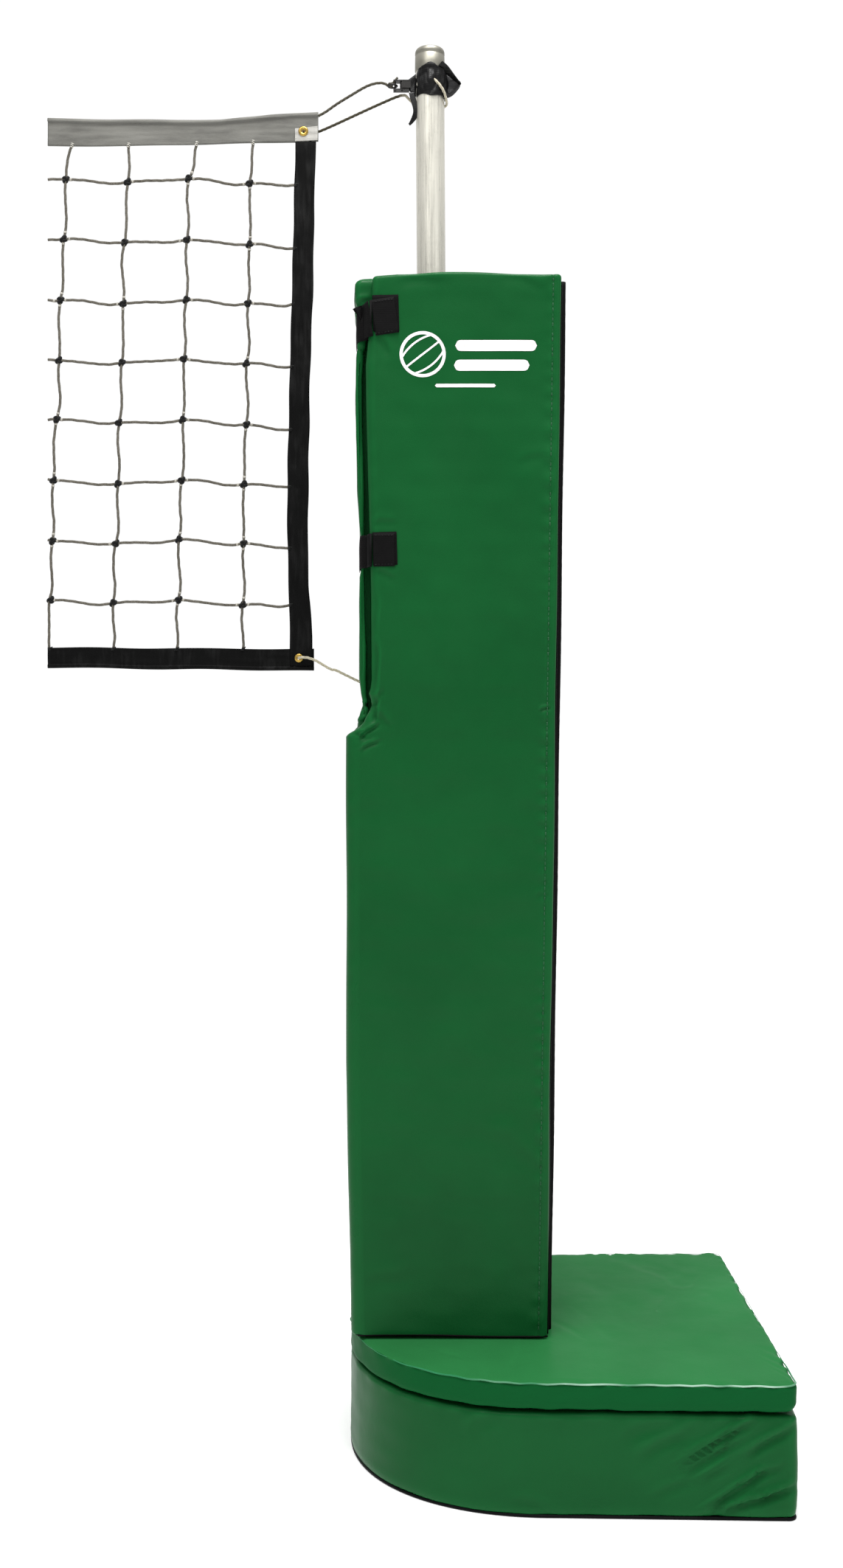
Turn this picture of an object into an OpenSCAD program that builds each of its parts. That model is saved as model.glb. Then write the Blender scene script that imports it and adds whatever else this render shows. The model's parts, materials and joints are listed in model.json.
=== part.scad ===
// Padded volleyball standard on a weighted base, with the end stretch of its net.
// The mast axis meets the floor at the origin. +X points away from the net, +Z up.

/* [Base] */
// Court-side nose radius of the base pad, also half its width
base_r = 345; // [300:5:380]
// Outboard end of the base pad, measured from the mast axis
base_end_x = 579; // [540:1:620]
// Centre of the nose arc, measured from the mast axis
nose_x = 200; // [190:1:220]
// Height of the side pad
side_pad_h = 172; // [150:1:190]
// Thickness of the side pad's foam wall
side_pad_t = 40; // [30:1:45]
// Thickness of the top pad
top_pad_t = 49; // [35:1:60]
// Thickness of the steel base plate
plate_t = 12; // [8:1:14]
// Thickness of each of the two ballast plates
ballast_t = 22; // [15:1:26]

/* [Mast] */
// Outside diameter of the sliding mast
mast_d = 50.8; // [48:0.1:52]
// Wall thickness of the mast and of the sleeve
mast_wall = 3; // [2.5:0.1:4]
// Height of the top of the mast tube
mast_top = 2460; // [2440:1:2480]
// Height of the foot of the mast tube inside the sleeve
mast_foot = 700; // [560:10:900]
// Outside diameter of the fixed sleeve
sleeve_d = 63.5; // [62:0.5:66]
// Height of the top of the sleeve
sleeve_top = 1880; // [1700:10:1900]
// Diameter of the cap on the mast
cap_d = 54; // [52:0.5:60]
// Visible height of the cap
cap_h = 40; // [20:1:50]

/* [Upright pad] */
// Height of the lower edge of the upright pad
pad_bottom = 228; // [228:1:235]
// Height of the upper edge of the upright pad
pad_top = 2055; // [2000:1:2060]
// Distance of the front and back faces from the mast axis
pad_half_depth = 141; // [135:1:150]
// Foam thickness of the front, right and back panels
foam_t = 50; // [40:1:52]
// Left edge of the front panel below the step
pad_left = 148; // [146:1:150]
// Left edge of the front panel above the step
step_left = 104; // [100:1:106]
// Height of the step in the left edge
step_z = 1262; // [1255:1:1275]
// Right edge of the pad at its lower end
pad_right_low = 193; // [190:1:200]
// Right edge of the pad at its upper end
pad_right_high = 219; // [210:1:225]
// Width of the slot in the left panel that the net's cord runs in
slot_w = 18; // [14:1:22]
// Height of the bottom of that slot
slot_z = 1130; // [1110:1:1140]

/* [Net] */
// Distance of the net's trimmed end from the mast axis
net_end = 693; // [690:1:700]
// Distance of the tape's mast-side end from the mast axis
tape_end = 204; // [200:1:208]
// Height of the top tape's upper edge at the mast side
net_top = 2386; // [2380:1:2390]
// Drop of the top tape towards the trimmed end
tape_drop = 11; // [0:1:15]
// Height of the top tape
top_tape_h = 50; // [46:1:56]
// Height of the bottom tape's lower edge
net_bottom = 1381; // [1375:1:1390]
// Height of the bottom tape
bottom_tape_h = 38; // [34:1:42]
// Vertical pitch of the meshes
mesh_z = 108.7; // [108:0.1:109]
// Twine diameter
twine_d = 4; // [3:0.5:5]
// Rope and tie cord diameter
cord_d = 4.6; // [4:0.1:5]

/* [Hidden] */
$fn = 64;

vinyl = [0.10, 0.38, 0.19];
steel = [0.35, 0.36, 0.38];
black = [0.07, 0.07, 0.08];
silver = [0.78, 0.78, 0.76];

// Base
base_z = side_pad_h + top_pad_t;
hem_t = 5;
inner_inset = side_pad_t + 1;
skirt_t = 3;
deck_t = 4;
deck_z = side_pad_h - deck_t;
plate_end_x = 440;
window = 160;
ballast_top = plate_t + 2 * ballast_t;
ballast_gap = 6;

// Transport wheels
wheel_x = 478;
wheel_r = 58;
wheel_z = wheel_r + 2;
wheel_w = 36;
wheel_y = 246;
hub_r = 38;
axle_r = 8;
running = 0.08;
bracket_t = 8;
bracket_y = 217;

// Mast and sleeve
mast_r = mast_d / 2;
sleeve_r = sleeve_d / 2;
sleeve_bore = 27;
flange_w = 150;
flange_t = 12;
flange_z = plate_t + flange_t;
bolt_x = 58;
collar_r = 43;
collar_h = 50;
screw_r = 6;
screw_z = sleeve_top - 12;
handle_x = 92;

// Upright pad
front_y = -pad_half_depth;
front_back_y = front_y + foam_t;
seam = 2;
roll_r = 12.5;
left_x = -pad_left;
roll_x = -128.5;
roll_y = front_back_y - 7;
upper_outer_x = roll_x - roll_r;
upper_inner_x = roll_x + roll_r;
pad_lean = pad_right_high - pad_right_low;
pad_h = pad_top - pad_bottom;
axis_gap = 7;
axis_y = front_back_y + 3;
welt_r = 6;
webbing_t = 2;
strap_x = -105.5;
straps = [[1940, 70], [1548, 61]];

// Net
net_right = -tape_end;
tape_len = net_end - tape_end;
tape_slope = atan(tape_drop / tape_len);
tape_t = 4;
rope_r = cord_d / 2;
roll_top = 5.5;
roll_bottom = 4.5;
column_count = 4;
row_count = 8;
first_row_z = 2263;
first_column_x = -661;
mesh_x = 111.2;
column_drift = 29;
drift_step = 5;
knot_d = 9;
grommet_top = [-231, 2351];
grommet_low = [-239, 1400];
grommet_r = 6;

// Strap and buckle at the top of the mast
buckle_z = 2434;
buckle_h = 14;
buckle_x0 = -68.5;
buckle_x1 = -40;
plate = 2;
pin_at = [-53, -2];
pin_r = 1.6;
bar_x = -65.4;
ring_x = -70;
ring_r = 8;
ring_wire_r = 1.6;
wrap_low = 2404;
wrap_h = 54;
strap_r = mast_r + 3.6;
lash_r = 31.4;
lash_low = 2404;

// Routes of the cords, from the net towards the mast
top_cord_route = [[-204, 0, 2380], [-190, 0, 2388], [-170, 0, 2402], [-144, 0, 2418],
                  [-122, 0, 2431], [-108, 0, 2437], [-96, 0, 2439.5], [-86, 0, 2439],
                  [-78, 0, 2435]];
tie_cord_route = [[-231, 1, 2351], [-230, 5, 2351], [-225, 8, 2351], [-214, 8, 2352],
                  [-202, 7, 2355], [-180, 6, 2364], [-150, 4, 2377], [-118, 2, 2391],
                  [-86, 1, 2405], [-62, 1, 2415], [-48, 2, 2418], [-39, 5, 2411]];
lower_cord_route = [[-239, -1, 1400], [-238, -5, 1400], [-233, -9, 1399], [-222, -10, 1395],
                    [-205, -8, 1388], [-185, -6, 1380], [-160, -3, 1370], [-132, -1, 1358],
                    [-110, 0, 1350], [-85, -2, 1340], [-66, -6, 1332], [-52, -13, 1326],
                    [-40, -22, 1322]];
loop_z = 1320;
loop_r = 34.8;

// Outline of the base, drawn smaller by inset
module base_outline(inset) {
    translate([nose_x, 0])
        circle(r = base_r - inset, $fn = 96);
    translate([nose_x, -(base_r - inset)])
        square([base_end_x - inset - nose_x, 2 * (base_r - inset)]);
}

// Outline of the plates inside the base, with the mast window and the wheel notches
module plate_outline(inset, window_w) {
    difference() {
        intersection() {
            base_outline(inset);
            translate([-base_r, -base_r])
                square([plate_end_x + base_r, 2 * base_r]);
        }
        square(window_w, center = true);
        for (side = [-1, 1])
            translate([wheel_x - wheel_r - 6, side * wheel_y - wheel_w / 2 - 5])
                square([wheel_r, wheel_w + 10]);
    }
}

// A round tube wall standing on the origin
module pipe(outer_r, inner_r, h) {
    difference() {
        cylinder(r = outer_r, h = h);
        translate([0, 0, -1])
            cylinder(r = inner_r, h = h + 2);
    }
}

// A drawing in the XZ plane, given depth from y0 to y1
module upright(y0, y1) {
    translate([0, y1, 0])
        rotate([90, 0, 0])
            linear_extrude(y1 - y0)
                children();
}

// Tube along a route: one ring at each point, square to the route there
function unit(v) = v / norm(v);
function route_dir(p, i) =
    unit(p[min(i + 1, len(p) - 1)] - p[max(i - 1, 0)]);
function ring_at(p, i, r, sides, side_ref) =
    let (u = unit(cross(route_dir(p, i), side_ref)), v = cross(route_dir(p, i), u))
    [for (k = [0 : sides - 1])
        p[i] + r * cos(360 * k / sides) * u + r * sin(360 * k / sides) * v];

module cord(p, d, sides = 8, side_ref = [0, 1, 0]) {
    n = len(p);
    points = [for (i = [0 : n - 1]) each ring_at(p, i, d / 2, sides, side_ref)];
    walls = [for (i = [0 : n - 2], k = [0 : sides - 1])
        let (a = i * sides + k, b = i * sides + (k + 1) % sides)
        each [[a, b, a + sides], [b, b + sides, a + sides]]];
    start = [for (k = [sides - 1 : -1 : 0]) k];
    end = [for (k = [0 : sides - 1]) (n - 1) * sides + k];
    polyhedron(points, concat([start], walls, [end]), convexity = 4);
}

// Base
module base_plate() {
    color(steel)
        linear_extrude(plate_t)
            difference() {
                plate_outline(inner_inset + skirt_t + 1, 0.001);
                for (x = [-1, 1], y = [-1, 1])
                    translate([x * bolt_x, y * bolt_x])
                        circle(r = 6);
            }
}

module ballast(z) {
    color([0.25, 0.26, 0.28])
        translate([0, 0, z])
            linear_extrude(ballast_t)
                plate_outline(inner_inset + skirt_t + ballast_gap, window);
}

module base_skirt() {
    color(steel)
        translate([0, 0, hem_t])
            linear_extrude(deck_z - hem_t)
                intersection() {
                    difference() {
                        base_outline(inner_inset);
                        base_outline(inner_inset + skirt_t);
                    }
                    translate([-base_r, -base_r])
                        square([plate_end_x + base_r, 2 * base_r]);
                }
}

module deck_posts() {
    color(steel)
        for (x = [120, 400], side = [-1, 1])
            translate([x, side * 190, ballast_top])
                linear_extrude(deck_z - ballast_top)
                    difference() {
                        square(40, center = true);
                        square(34, center = true);
                    }
}

module deck_plate() {
    color(steel)
        translate([0, 0, deck_z])
            linear_extrude(deck_t)
                difference() {
                    base_outline(inner_inset);
                    circle(r = sleeve_r + 4);
                }
}

module base_hem() {
    color(black)
        linear_extrude(hem_t)
            difference() {
                base_outline(1);
                base_outline(side_pad_t - 1);
            }
}

module base_side_pad() {
    color(vinyl)
        translate([0, 0, hem_t])
            linear_extrude(side_pad_h - hem_t)
                difference() {
                    base_outline(0);
                    base_outline(side_pad_t);
                }
}

module base_top_pad() {
    color(vinyl)
        translate([0, 0, side_pad_h])
            linear_extrude(top_pad_t)
                difference() {
                    base_outline(3);
                    circle(r = sleeve_r + 6);
                }
}

// Mast foot
module mast_flange() {
    color(steel)
        translate([0, 0, plate_t])
            linear_extrude(flange_t)
                difference() {
                    square(flange_w, center = true);
                    circle(r = sleeve_bore);
                    for (x = [-1, 1], y = [-1, 1])
                        translate([x * bolt_x, y * bolt_x])
                            circle(r = 6);
                }
}

module flange_bolts() {
    color(silver)
        for (x = [-1, 1], y = [-1, 1])
            translate([x * bolt_x, y * bolt_x, 0]) {
                translate([0, 0, 1])
                    cylinder(r = 6, h = flange_z);
                translate([0, 0, flange_z])
                    cylinder(r = 10, h = 8, $fn = 6);
            }
}

module gussets() {
    color(steel)
        for (turn = [0 : 90 : 270])
            rotate([0, 0, turn])
                upright(-4, 4)
                    polygon([[sleeve_r, flange_z], [70, flange_z], [70, 44], [42, 150],
                             [sleeve_r, 150]]);
}

module sleeve_tube() {
    color(steel)
        difference() {
            translate([0, 0, flange_z])
                pipe(sleeve_r, sleeve_bore, sleeve_top - flange_z);
            translate([sleeve_r - 12, 0, screw_z])
                rotate([0, 90, 0])
                    cylinder(r = screw_r + running, h = 30);
        }
}

module bush(z, h) {
    color([0.9, 0.9, 0.86])
        translate([0, 0, z])
            pipe(sleeve_bore, mast_r + running, h);
}

// Height lock
module lock_collar() {
    color(silver)
        difference() {
            union() {
                translate([0, 0, sleeve_top - collar_h + 10])
                    cylinder(r = collar_r, h = collar_h);
                translate([0, 0, screw_z])
                    rotate([0, 90, 0])
                        cylinder(r = 13, h = 58);
            }
            translate([0, 0, sleeve_top - collar_h])
                cylinder(r = sleeve_r, h = collar_h);
            cylinder(r = mast_r + 3, h = sleeve_top + 20);
            translate([20, 0, screw_z])
                rotate([0, 90, 0])
                    cylinder(r = screw_r + running, h = 60);
        }
}

module lock_screw() {
    color(silver)
        translate([sleeve_bore + 0.3, 0, screw_z])
            rotate([0, 90, 0])
                cylinder(r = screw_r, h = handle_x - sleeve_bore - 5);
}

module lock_handle() {
    color(black)
        translate([handle_x, 0, screw_z]) {
            difference() {
                rotate([90, 0, 0])
                    cylinder(r = 9, h = 90, center = true);
                rotate([0, -90, 0])
                    cylinder(r = screw_r, h = 12);
            }
            for (side = [-1, 1])
                translate([0, side * 45, 0])
                    sphere(r = 11);
        }
}

// Transport wheels
module axle() {
    color(silver)
        translate([wheel_x, -wheel_y - wheel_w / 2 - 12, wheel_z])
            rotate([-90, 0, 0])
                cylinder(r = axle_r, h = 2 * wheel_y + wheel_w + 24);
}

module axle_brackets() {
    color(steel)
        for (side = [-1, 1])
            difference() {
                upright(side * bracket_y - bracket_t / 2, side * bracket_y + bracket_t / 2)
                    polygon([[380, ballast_top], [495, ballast_top], [500, 84], [440, 90],
                             [380, 70]]);
                translate([wheel_x, -300, wheel_z])
                    rotate([-90, 0, 0])
                        cylinder(r = axle_r, h = 600);
            }
}

module axle_caps() {
    color(black)
        for (side = [-1, 1])
            translate([wheel_x, side * (wheel_y + wheel_w / 2 + 2), wheel_z])
                rotate([-side * 90, 0, 0])
                    difference() {
                        cylinder(r = 14, h = 14);
                        translate([0, 0, -1])
                            cylinder(r = axle_r, h = 11);
                    }
}

module hub(side) {
    color([0.8, 0.8, 0.78])
        translate([wheel_x, side * wheel_y + wheel_w / 2, wheel_z])
            rotate([90, 0, 0])
                difference() {
                    pipe(hub_r, axle_r + running, wheel_w);
                    for (face = [-1, wheel_w - 7])
                        translate([0, 0, face])
                            pipe(hub_r - 6, 16, 8);
                }
}

module tyre(side) {
    color(black)
        translate([wheel_x, side * wheel_y, wheel_z])
            rotate([90, 0, 0])
                rotate_extrude()
                    difference() {
                        union() {
                            translate([hub_r, -wheel_w / 2])
                                square([wheel_r - hub_r - 5, wheel_w]);
                            translate([hub_r, -wheel_w / 2 + 5])
                                square([wheel_r - hub_r, wheel_w - 10]);
                        }
                        for (groove = [-8, 8])
                            translate([wheel_r - 2, groove - 1])
                                square([3, 2]);
                    }
}

// Upright pad. Its right edge leans out towards the top.
function right_edge(z) = pad_right_low + pad_lean * (z - pad_bottom) / pad_h;

module right_panel() {
    color(vinyl)
        upright(front_back_y + seam, pad_half_depth - foam_t)
            polygon([[pad_right_low - foam_t, pad_bottom], [pad_right_low, pad_bottom],
                     [pad_right_high, pad_top], [pad_right_high - foam_t, pad_top]]);
}

module back_panel() {
    color(vinyl)
        upright(pad_half_depth - foam_t, pad_half_depth)
            polygon([[left_x + 9, pad_bottom], [pad_right_low, pad_bottom],
                     [pad_right_high, pad_top], [upper_outer_x, pad_top],
                     [upper_outer_x, step_z + 38], [left_x, step_z], [left_x, 700]]);
}

module left_panel_lower() {
    color(vinyl)
        difference() {
            upright(front_back_y + seam, pad_half_depth - foam_t)
                polygon([[left_x + 9, pad_bottom], [left_x + foam_t, pad_bottom],
                         [left_x + foam_t, step_z], [left_x, step_z], [left_x, 700]]);
            translate([left_x - 10, -slot_w / 2, slot_z])
                cube([foam_t + 20, slot_w, step_z]);
        }
}

module left_panel_upper() {
    color(vinyl) {
        for (y = [[front_back_y + seam, -slot_w / 2], [slot_w / 2, pad_half_depth - foam_t]])
            translate([upper_outer_x, y[0], step_z])
                cube([2 * roll_r, y[1] - y[0], pad_top - 15 - step_z]);
        translate([roll_x, roll_y, step_z + 44])
            cylinder(r = roll_r, h = pad_top - 15 - step_z - 44);
    }
}

module fold_welt() {
    color(black)
        translate([pad_right_low + axis_gap, axis_y, pad_bottom])
            rotate([0, atan(pad_lean / pad_h), 0])
                cylinder(r = welt_r, h = pad_h - 12);
}

module fold_leaf() {
    color(black)
        upright(axis_y + welt_r, axis_y + 40)
            polygon([for (end = [[pad_bottom, 0.3], [pad_bottom, 1.8], [pad_top - 12, 1.8],
                                 [pad_top - 12, 0.3]])
                         [right_edge(end[0]) + end[1], end[0]]]);
}

module loop_patches() {
    color(black)
        for (strap = straps)
            translate([upper_outer_x - 1.2, -85, strap[0] + 4])
                cube([1.2, 40, strap[1] - 8]);
}

module front_panel() {
    color(vinyl)
        upright(front_y, front_back_y)
            polygon([[left_x + 9, pad_bottom], [pad_right_low, pad_bottom],
                     [pad_right_high, pad_top], [-step_left, pad_top],
                     [-step_left, step_z + 38], [left_x, step_z], [left_x, 700]]);
}

module front_backing() {
    color(black)
        upright(front_back_y, front_back_y + 1.2)
            polygon([[-90, pad_bottom + 6], [pad_right_low - 1, pad_bottom + 6],
                     [pad_right_high - 1, pad_top - 10], [-90, pad_top - 10]]);
}

module strap_base(strap) {
    color(black)
        translate([strap_x + 2.5, front_y - webbing_t, strap[0]])
            cube([46, webbing_t, strap[1]]);
}

module strap_tab(strap) {
    side_x = upper_outer_x - 1.6;
    color(black) {
        translate([side_x - webbing_t, front_y - webbing_t - 0.5, strap[0]])
            cube([strap_x - side_x + webbing_t, webbing_t, strap[1]]);
        translate([side_x - webbing_t, front_y - webbing_t - 0.5, strap[0]])
            cube([webbing_t, 98, strap[1]]);
        translate([strap_x, front_y - webbing_t / 2 - 0.5, strap[0]])
            cylinder(r = webbing_t / 2, h = strap[1]);
    }
}

// Mast and what it carries
module mast_tube() {
    color(silver)
        translate([0, 0, mast_foot])
            pipe(mast_r, mast_r - mast_wall, mast_top - mast_foot);
}

module mast_cap() {
    color(silver) {
        translate([0, 0, mast_top])
            cylinder(r = cap_d / 2, h = cap_h - 4);
        translate([0, 0, mast_top + cap_h - 4])
            cylinder(r1 = cap_d / 2, r2 = cap_d / 2 - 4, h = 4);
        translate([0, 0, mast_top - 40])
            cylinder(r = mast_r - mast_wall, h = 40);
    }
}

module top_strap() {
    color(black) {
        difference() {
            union() {
                translate([0, 0, wrap_low])
                    cylinder(r = strap_r, h = wrap_h);
                upright(-2, 2)
                    polygon([[-46, buckle_z - 6], [-39, buckle_z - 6], [-27, 2412], [-27, 2456],
                             [-39, buckle_z + 6], [-46, buckle_z + 6]]);
            }
            translate([0, 0, wrap_low - 1])
                cylinder(r = mast_r, h = wrap_h + 2);
        }
        upright(-3, 3)
            polygon([[strap_r + 0.2, 2457], [38, 2452], [53, 2437], [38, 2418],
                     [strap_r + 0.2, 2414]]);
    }
}

module strap_tail() {
    color(black)
        upright(-11, -9)
            polygon([[-42, 2414], [-31, 2414], [-24.6, 2385], [-26, 2372], [-36, 2361],
                     [-41, 2361], [-34, 2372], [-34, 2385]]);
}

module buckle_frame() {
    depth = 14;
    color(silver)
        difference() {
            union() {
                for (z = [buckle_z - buckle_h / 2 - plate, buckle_z + buckle_h / 2])
                    translate([buckle_x0, -depth / 2, z])
                        cube([buckle_x1 - buckle_x0, depth, plate]);
                translate([-56, depth / 2 - plate, buckle_z - buckle_h / 2])
                    cube([buckle_x1 + 56, plate, buckle_h]);
            }
            for (at = [pin_at, [bar_x, 0]])
                translate([at[0], at[1], buckle_z - buckle_h])
                    cylinder(r = pin_r, h = 2 * buckle_h);
        }
}

// The lever's pin and the bar that the ring hangs on
module buckle_pins() {
    color(silver)
        for (at = [pin_at, [bar_x, 0]])
            translate([at[0], at[1], buckle_z - buckle_h / 2 - plate - 1])
                cylinder(r = pin_r, h = buckle_h + 2 * plate + 2);
}

module tie_ring() {
    color(silver)
        translate([ring_x, 0, buckle_z])
            rotate_extrude()
                translate([ring_r, 0])
                    circle(r = ring_wire_r);
}

module cam_lever() {
    lever_h = buckle_h - 2;
    color(silver)
        translate([pin_at[0], pin_at[1], buckle_z - lever_h / 2])
            difference() {
                union() {
                    cylinder(r = 3.6, h = lever_h);
                    translate([0, -6, 0])
                        cube([16, 2, lever_h]);
                    translate([0, -6, 0])
                        cube([2.5, 6, lever_h]);
                }
                translate([0, 0, -1])
                    cylinder(r = pin_r + running, h = lever_h + 2);
            }
}

// Net
function tape_low(x) = net_top - top_tape_h + tape_drop * (x + tape_end) / tape_len;
function band_shift(z) =
    let (t = (net_top - top_tape_h - z) / (net_top - top_tape_h - net_bottom))
    -7 * t - 11 * sin(180 * t);
function band_left(z) = -244 + band_shift(z);
function column_x(j, z) =
    let (t = (first_row_z - z) / (mesh_z * (row_count - 1)))
    first_column_x + mesh_x * j - (column_drift - drift_step * j) * t;
function row_z(i) = first_row_z - mesh_z * i;

// Cross-section of a tape folded over a rope, the fold at the far end of the height
module tape_section(h, roll) {
    difference() {
        union() {
            translate([-tape_t / 2, 0])
                square([tape_t, h - roll]);
            translate([0, h - roll])
                circle(r = roll);
        }
        translate([0, h - roll])
            circle(r = rope_r + 0.3);
    }
}

module grommet_hole(at) {
    translate([at[0], 0, at[1]])
        rotate([90, 0, 0])
            cylinder(r = grommet_r, h = 40, center = true);
}

module top_tape() {
    color([0.80, 0.79, 0.75])
        difference() {
            translate([-net_end, 0, net_top - top_tape_h - tape_drop])
                rotate([0, -tape_slope, 0])
                    rotate([90, 0, 90])
                        linear_extrude(tape_len)
                            tape_section(top_tape_h, roll_top);
            grommet_hole(grommet_top);
        }
}

module head_rope() {
    color([0.5, 0.46, 0.4])
        translate([-net_end, 0, net_top - top_tape_h - tape_drop])
            rotate([0, -tape_slope, 0])
                translate([0, 0, top_tape_h - roll_top])
                    rotate([0, 90, 0])
                        cylinder(r = rope_r, h = tape_len - 2, $fn = 8);
}

module bottom_tape() {
    color(black)
        difference() {
            translate([-net_end, 0, net_bottom + bottom_tape_h])
                mirror([0, 0, 1])
                    rotate([90, 0, 90])
                        linear_extrude(net_end - 213)
                            tape_section(bottom_tape_h, roll_bottom);
            grommet_hole(grommet_low);
        }
}

module foot_rope() {
    color([0.8, 0.76, 0.65])
        translate([-net_end, 0, net_bottom + roll_bottom])
            rotate([0, 90, 0])
                cylinder(r = rope_r, h = net_end - 215, $fn = 8);
}

module side_band() {
    steps = 12;
    low = net_bottom + bottom_tape_h;
    high = net_top - top_tape_h - 1.5;
    heights = [for (k = [0 : steps]) low + (high - low) * k / steps];
    color(black)
        upright(-2.5, 2.5)
            polygon(concat([for (z = heights) [band_left(z), z]],
                           [for (k = [steps : -1 : 0]) [band_left(heights[k]) + 35, heights[k]]]));
}

// Each mesh side bows a little between its knots
function bow(i, j) = 3.5 * sin(97 * i + 61 * j);

module net_rows() {
    color([0.45, 0.43, 0.37])
        for (i = [0 : row_count - 1]) {
            z = row_z(i);
            stops = concat([-net_end + 1], [for (j = [0 : column_count - 1]) column_x(j, z)],
                           [band_left(z)]);
            first = column_x(0, z) > -net_end + 8 ? 0 : 1;
            cord([for (j = [first : column_count + 1])
                      each concat([[stops[j], 0, z]],
                                  j > column_count ? [] :
                                  [[(stops[j] + stops[j + 1]) / 2, 0, z + bow(i, j)]])],
                 twine_d);
        }
}

module net_columns() {
    color([0.45, 0.43, 0.37])
        for (j = [0 : column_count - 1]) {
            top_z = tape_low(column_x(j, first_row_z)) - 1;
            stops = concat([top_z], [for (i = [0 : row_count - 1]) row_z(i)],
                           [net_bottom + bottom_tape_h]);
            cord([for (i = [0 : row_count + 1])
                      each concat([[column_x(j, stops[i]), 0, stops[i]]],
                                  i > row_count ? [] :
                                  [let (z = (stops[i] + stops[i + 1]) / 2)
                                   [column_x(j, z) + bow(j, i), 0, z]])],
                 twine_d);
        }
}

module net_knots() {
    color(black)
        for (i = [0 : row_count - 1], j = [0 : column_count - 1])
            translate([column_x(j, row_z(i)), 0, row_z(i)])
                sphere(r = knot_d / 2, $fn = 24);
}

module grommets() {
    color([0.75, 0.6, 0.25])
        for (at = [grommet_top, grommet_low])
            translate([at[0], 0, at[1]])
                rotate([90, 0, 0])
                    translate([0, 0, -tape_t / 2]) {
                        difference() {
                            union() {
                                cylinder(r = grommet_r, h = tape_t);
                                translate([0, 0, -0.8])
                                    cylinder(r = grommet_r + 3.5, h = 0.8);
                                translate([0, 0, tape_t])
                                    cylinder(r = grommet_r + 3.5, h = 0.8);
                            }
                            translate([0, 0, -2])
                                cylinder(r = 4.4, h = tape_t + 4);
                        }
                    }
}

// Cords from the net to the mast
module top_cord() {
    color([0.5, 0.46, 0.4])
        cord(top_cord_route, cord_d);
}

// Runs behind the tape's corner to the mast, round the back of it and up across its front
function lash_rise(a) = let (t = min(1, max(0, -a / 120))) 3 + 50 * t * t * (3 - 2 * t);

module tie_cord() {
    turn = [for (a = [150 : -15 : -225])
        [lash_r * cos(a), lash_r * sin(a), lash_low + lash_rise(a)]];
    color([0.5, 0.46, 0.4])
        cord(concat(tie_cord_route, turn), cord_d, 8, [0, 0, 1]);
}

// Runs in through the pad's slot and once round the sleeve
module lower_cord() {
    turns = [for (a = [236 : 15 : 551]) [loop_r * cos(a), loop_r * sin(a), loop_z]];
    color([0.8, 0.76, 0.65])
        cord(concat(lower_cord_route, turns), cord_d, 8, [0, 0, 1]);
}

module cord_knots() {
    color([0.5, 0.46, 0.4])
        for (at = [[-24, 24, lash_low + 53], [-39, -15, 1322]])
            translate(at)
                sphere(r = 5);
}

base_plate();
ballast(plate_t);  // ballast_lower
ballast(plate_t + ballast_t);  // ballast_upper
base_skirt();
deck_posts();
deck_plate();
base_hem();
base_side_pad();
base_top_pad();
mast_flange();
flange_bolts();
gussets();
sleeve_tube();
bush(900, 60);  // bush_lower
bush(sleeve_top - 50, 50);  // bush_upper
lock_collar();
lock_screw();
lock_handle();
axle();
axle_brackets();
axle_caps();
hub(-1);  // hub_front
tyre(-1);  // tyre_front
hub(1);  // hub_back
tyre(1);  // tyre_back
right_panel();
back_panel();
left_panel_lower();
left_panel_upper();
fold_welt();
fold_leaf();
loop_patches();
front_panel();
front_backing();
strap_base(straps[0]);  // strap_upper_base
strap_base(straps[1]);  // strap_lower_base
strap_tab(straps[0]);  // strap_upper_tab
strap_tab(straps[1]);  // strap_lower_tab
mast_tube();
mast_cap();
top_strap();
strap_tail();
buckle_frame();
buckle_pins();
tie_ring();
cam_lever();
head_rope();
top_cord();
tie_cord();
lower_cord();
cord_knots();
top_tape();
bottom_tape();
foot_rope();
side_band();
net_rows();
net_columns();
net_knots();
grommets();
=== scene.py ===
import json
import random
from math import copysign, cos, exp, hypot, pi, radians, sin, sqrt

import bpy
import numpy as np
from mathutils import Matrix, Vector


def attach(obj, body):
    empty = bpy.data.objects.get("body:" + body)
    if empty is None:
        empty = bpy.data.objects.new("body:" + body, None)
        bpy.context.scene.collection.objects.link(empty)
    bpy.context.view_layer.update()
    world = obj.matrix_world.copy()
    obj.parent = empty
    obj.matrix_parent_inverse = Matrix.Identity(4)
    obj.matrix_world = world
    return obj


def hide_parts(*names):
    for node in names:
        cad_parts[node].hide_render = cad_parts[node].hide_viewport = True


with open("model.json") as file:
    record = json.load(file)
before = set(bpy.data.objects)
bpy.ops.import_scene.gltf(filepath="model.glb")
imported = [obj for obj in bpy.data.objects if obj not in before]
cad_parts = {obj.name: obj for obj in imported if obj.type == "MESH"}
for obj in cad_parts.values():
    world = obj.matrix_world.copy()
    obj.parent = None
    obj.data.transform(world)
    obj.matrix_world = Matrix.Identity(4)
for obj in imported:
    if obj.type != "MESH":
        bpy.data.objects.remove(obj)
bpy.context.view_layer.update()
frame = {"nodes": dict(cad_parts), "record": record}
rng = random.Random(7)
MM = 0.001


# ---------------------------------------------------------------- materials
def add_node(tree, kind, **inputs):
    """A shader node whose inputs get a constant or a link; an underscore stands for a space."""
    node = tree.nodes.new("ShaderNode" + kind)
    for name, value in inputs.items():
        socket = node.inputs[name.replace("_", " ")]
        if isinstance(value, bpy.types.NodeSocket):
            tree.links.new(value, socket)
        else:
            socket.default_value = value
    return node


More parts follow.
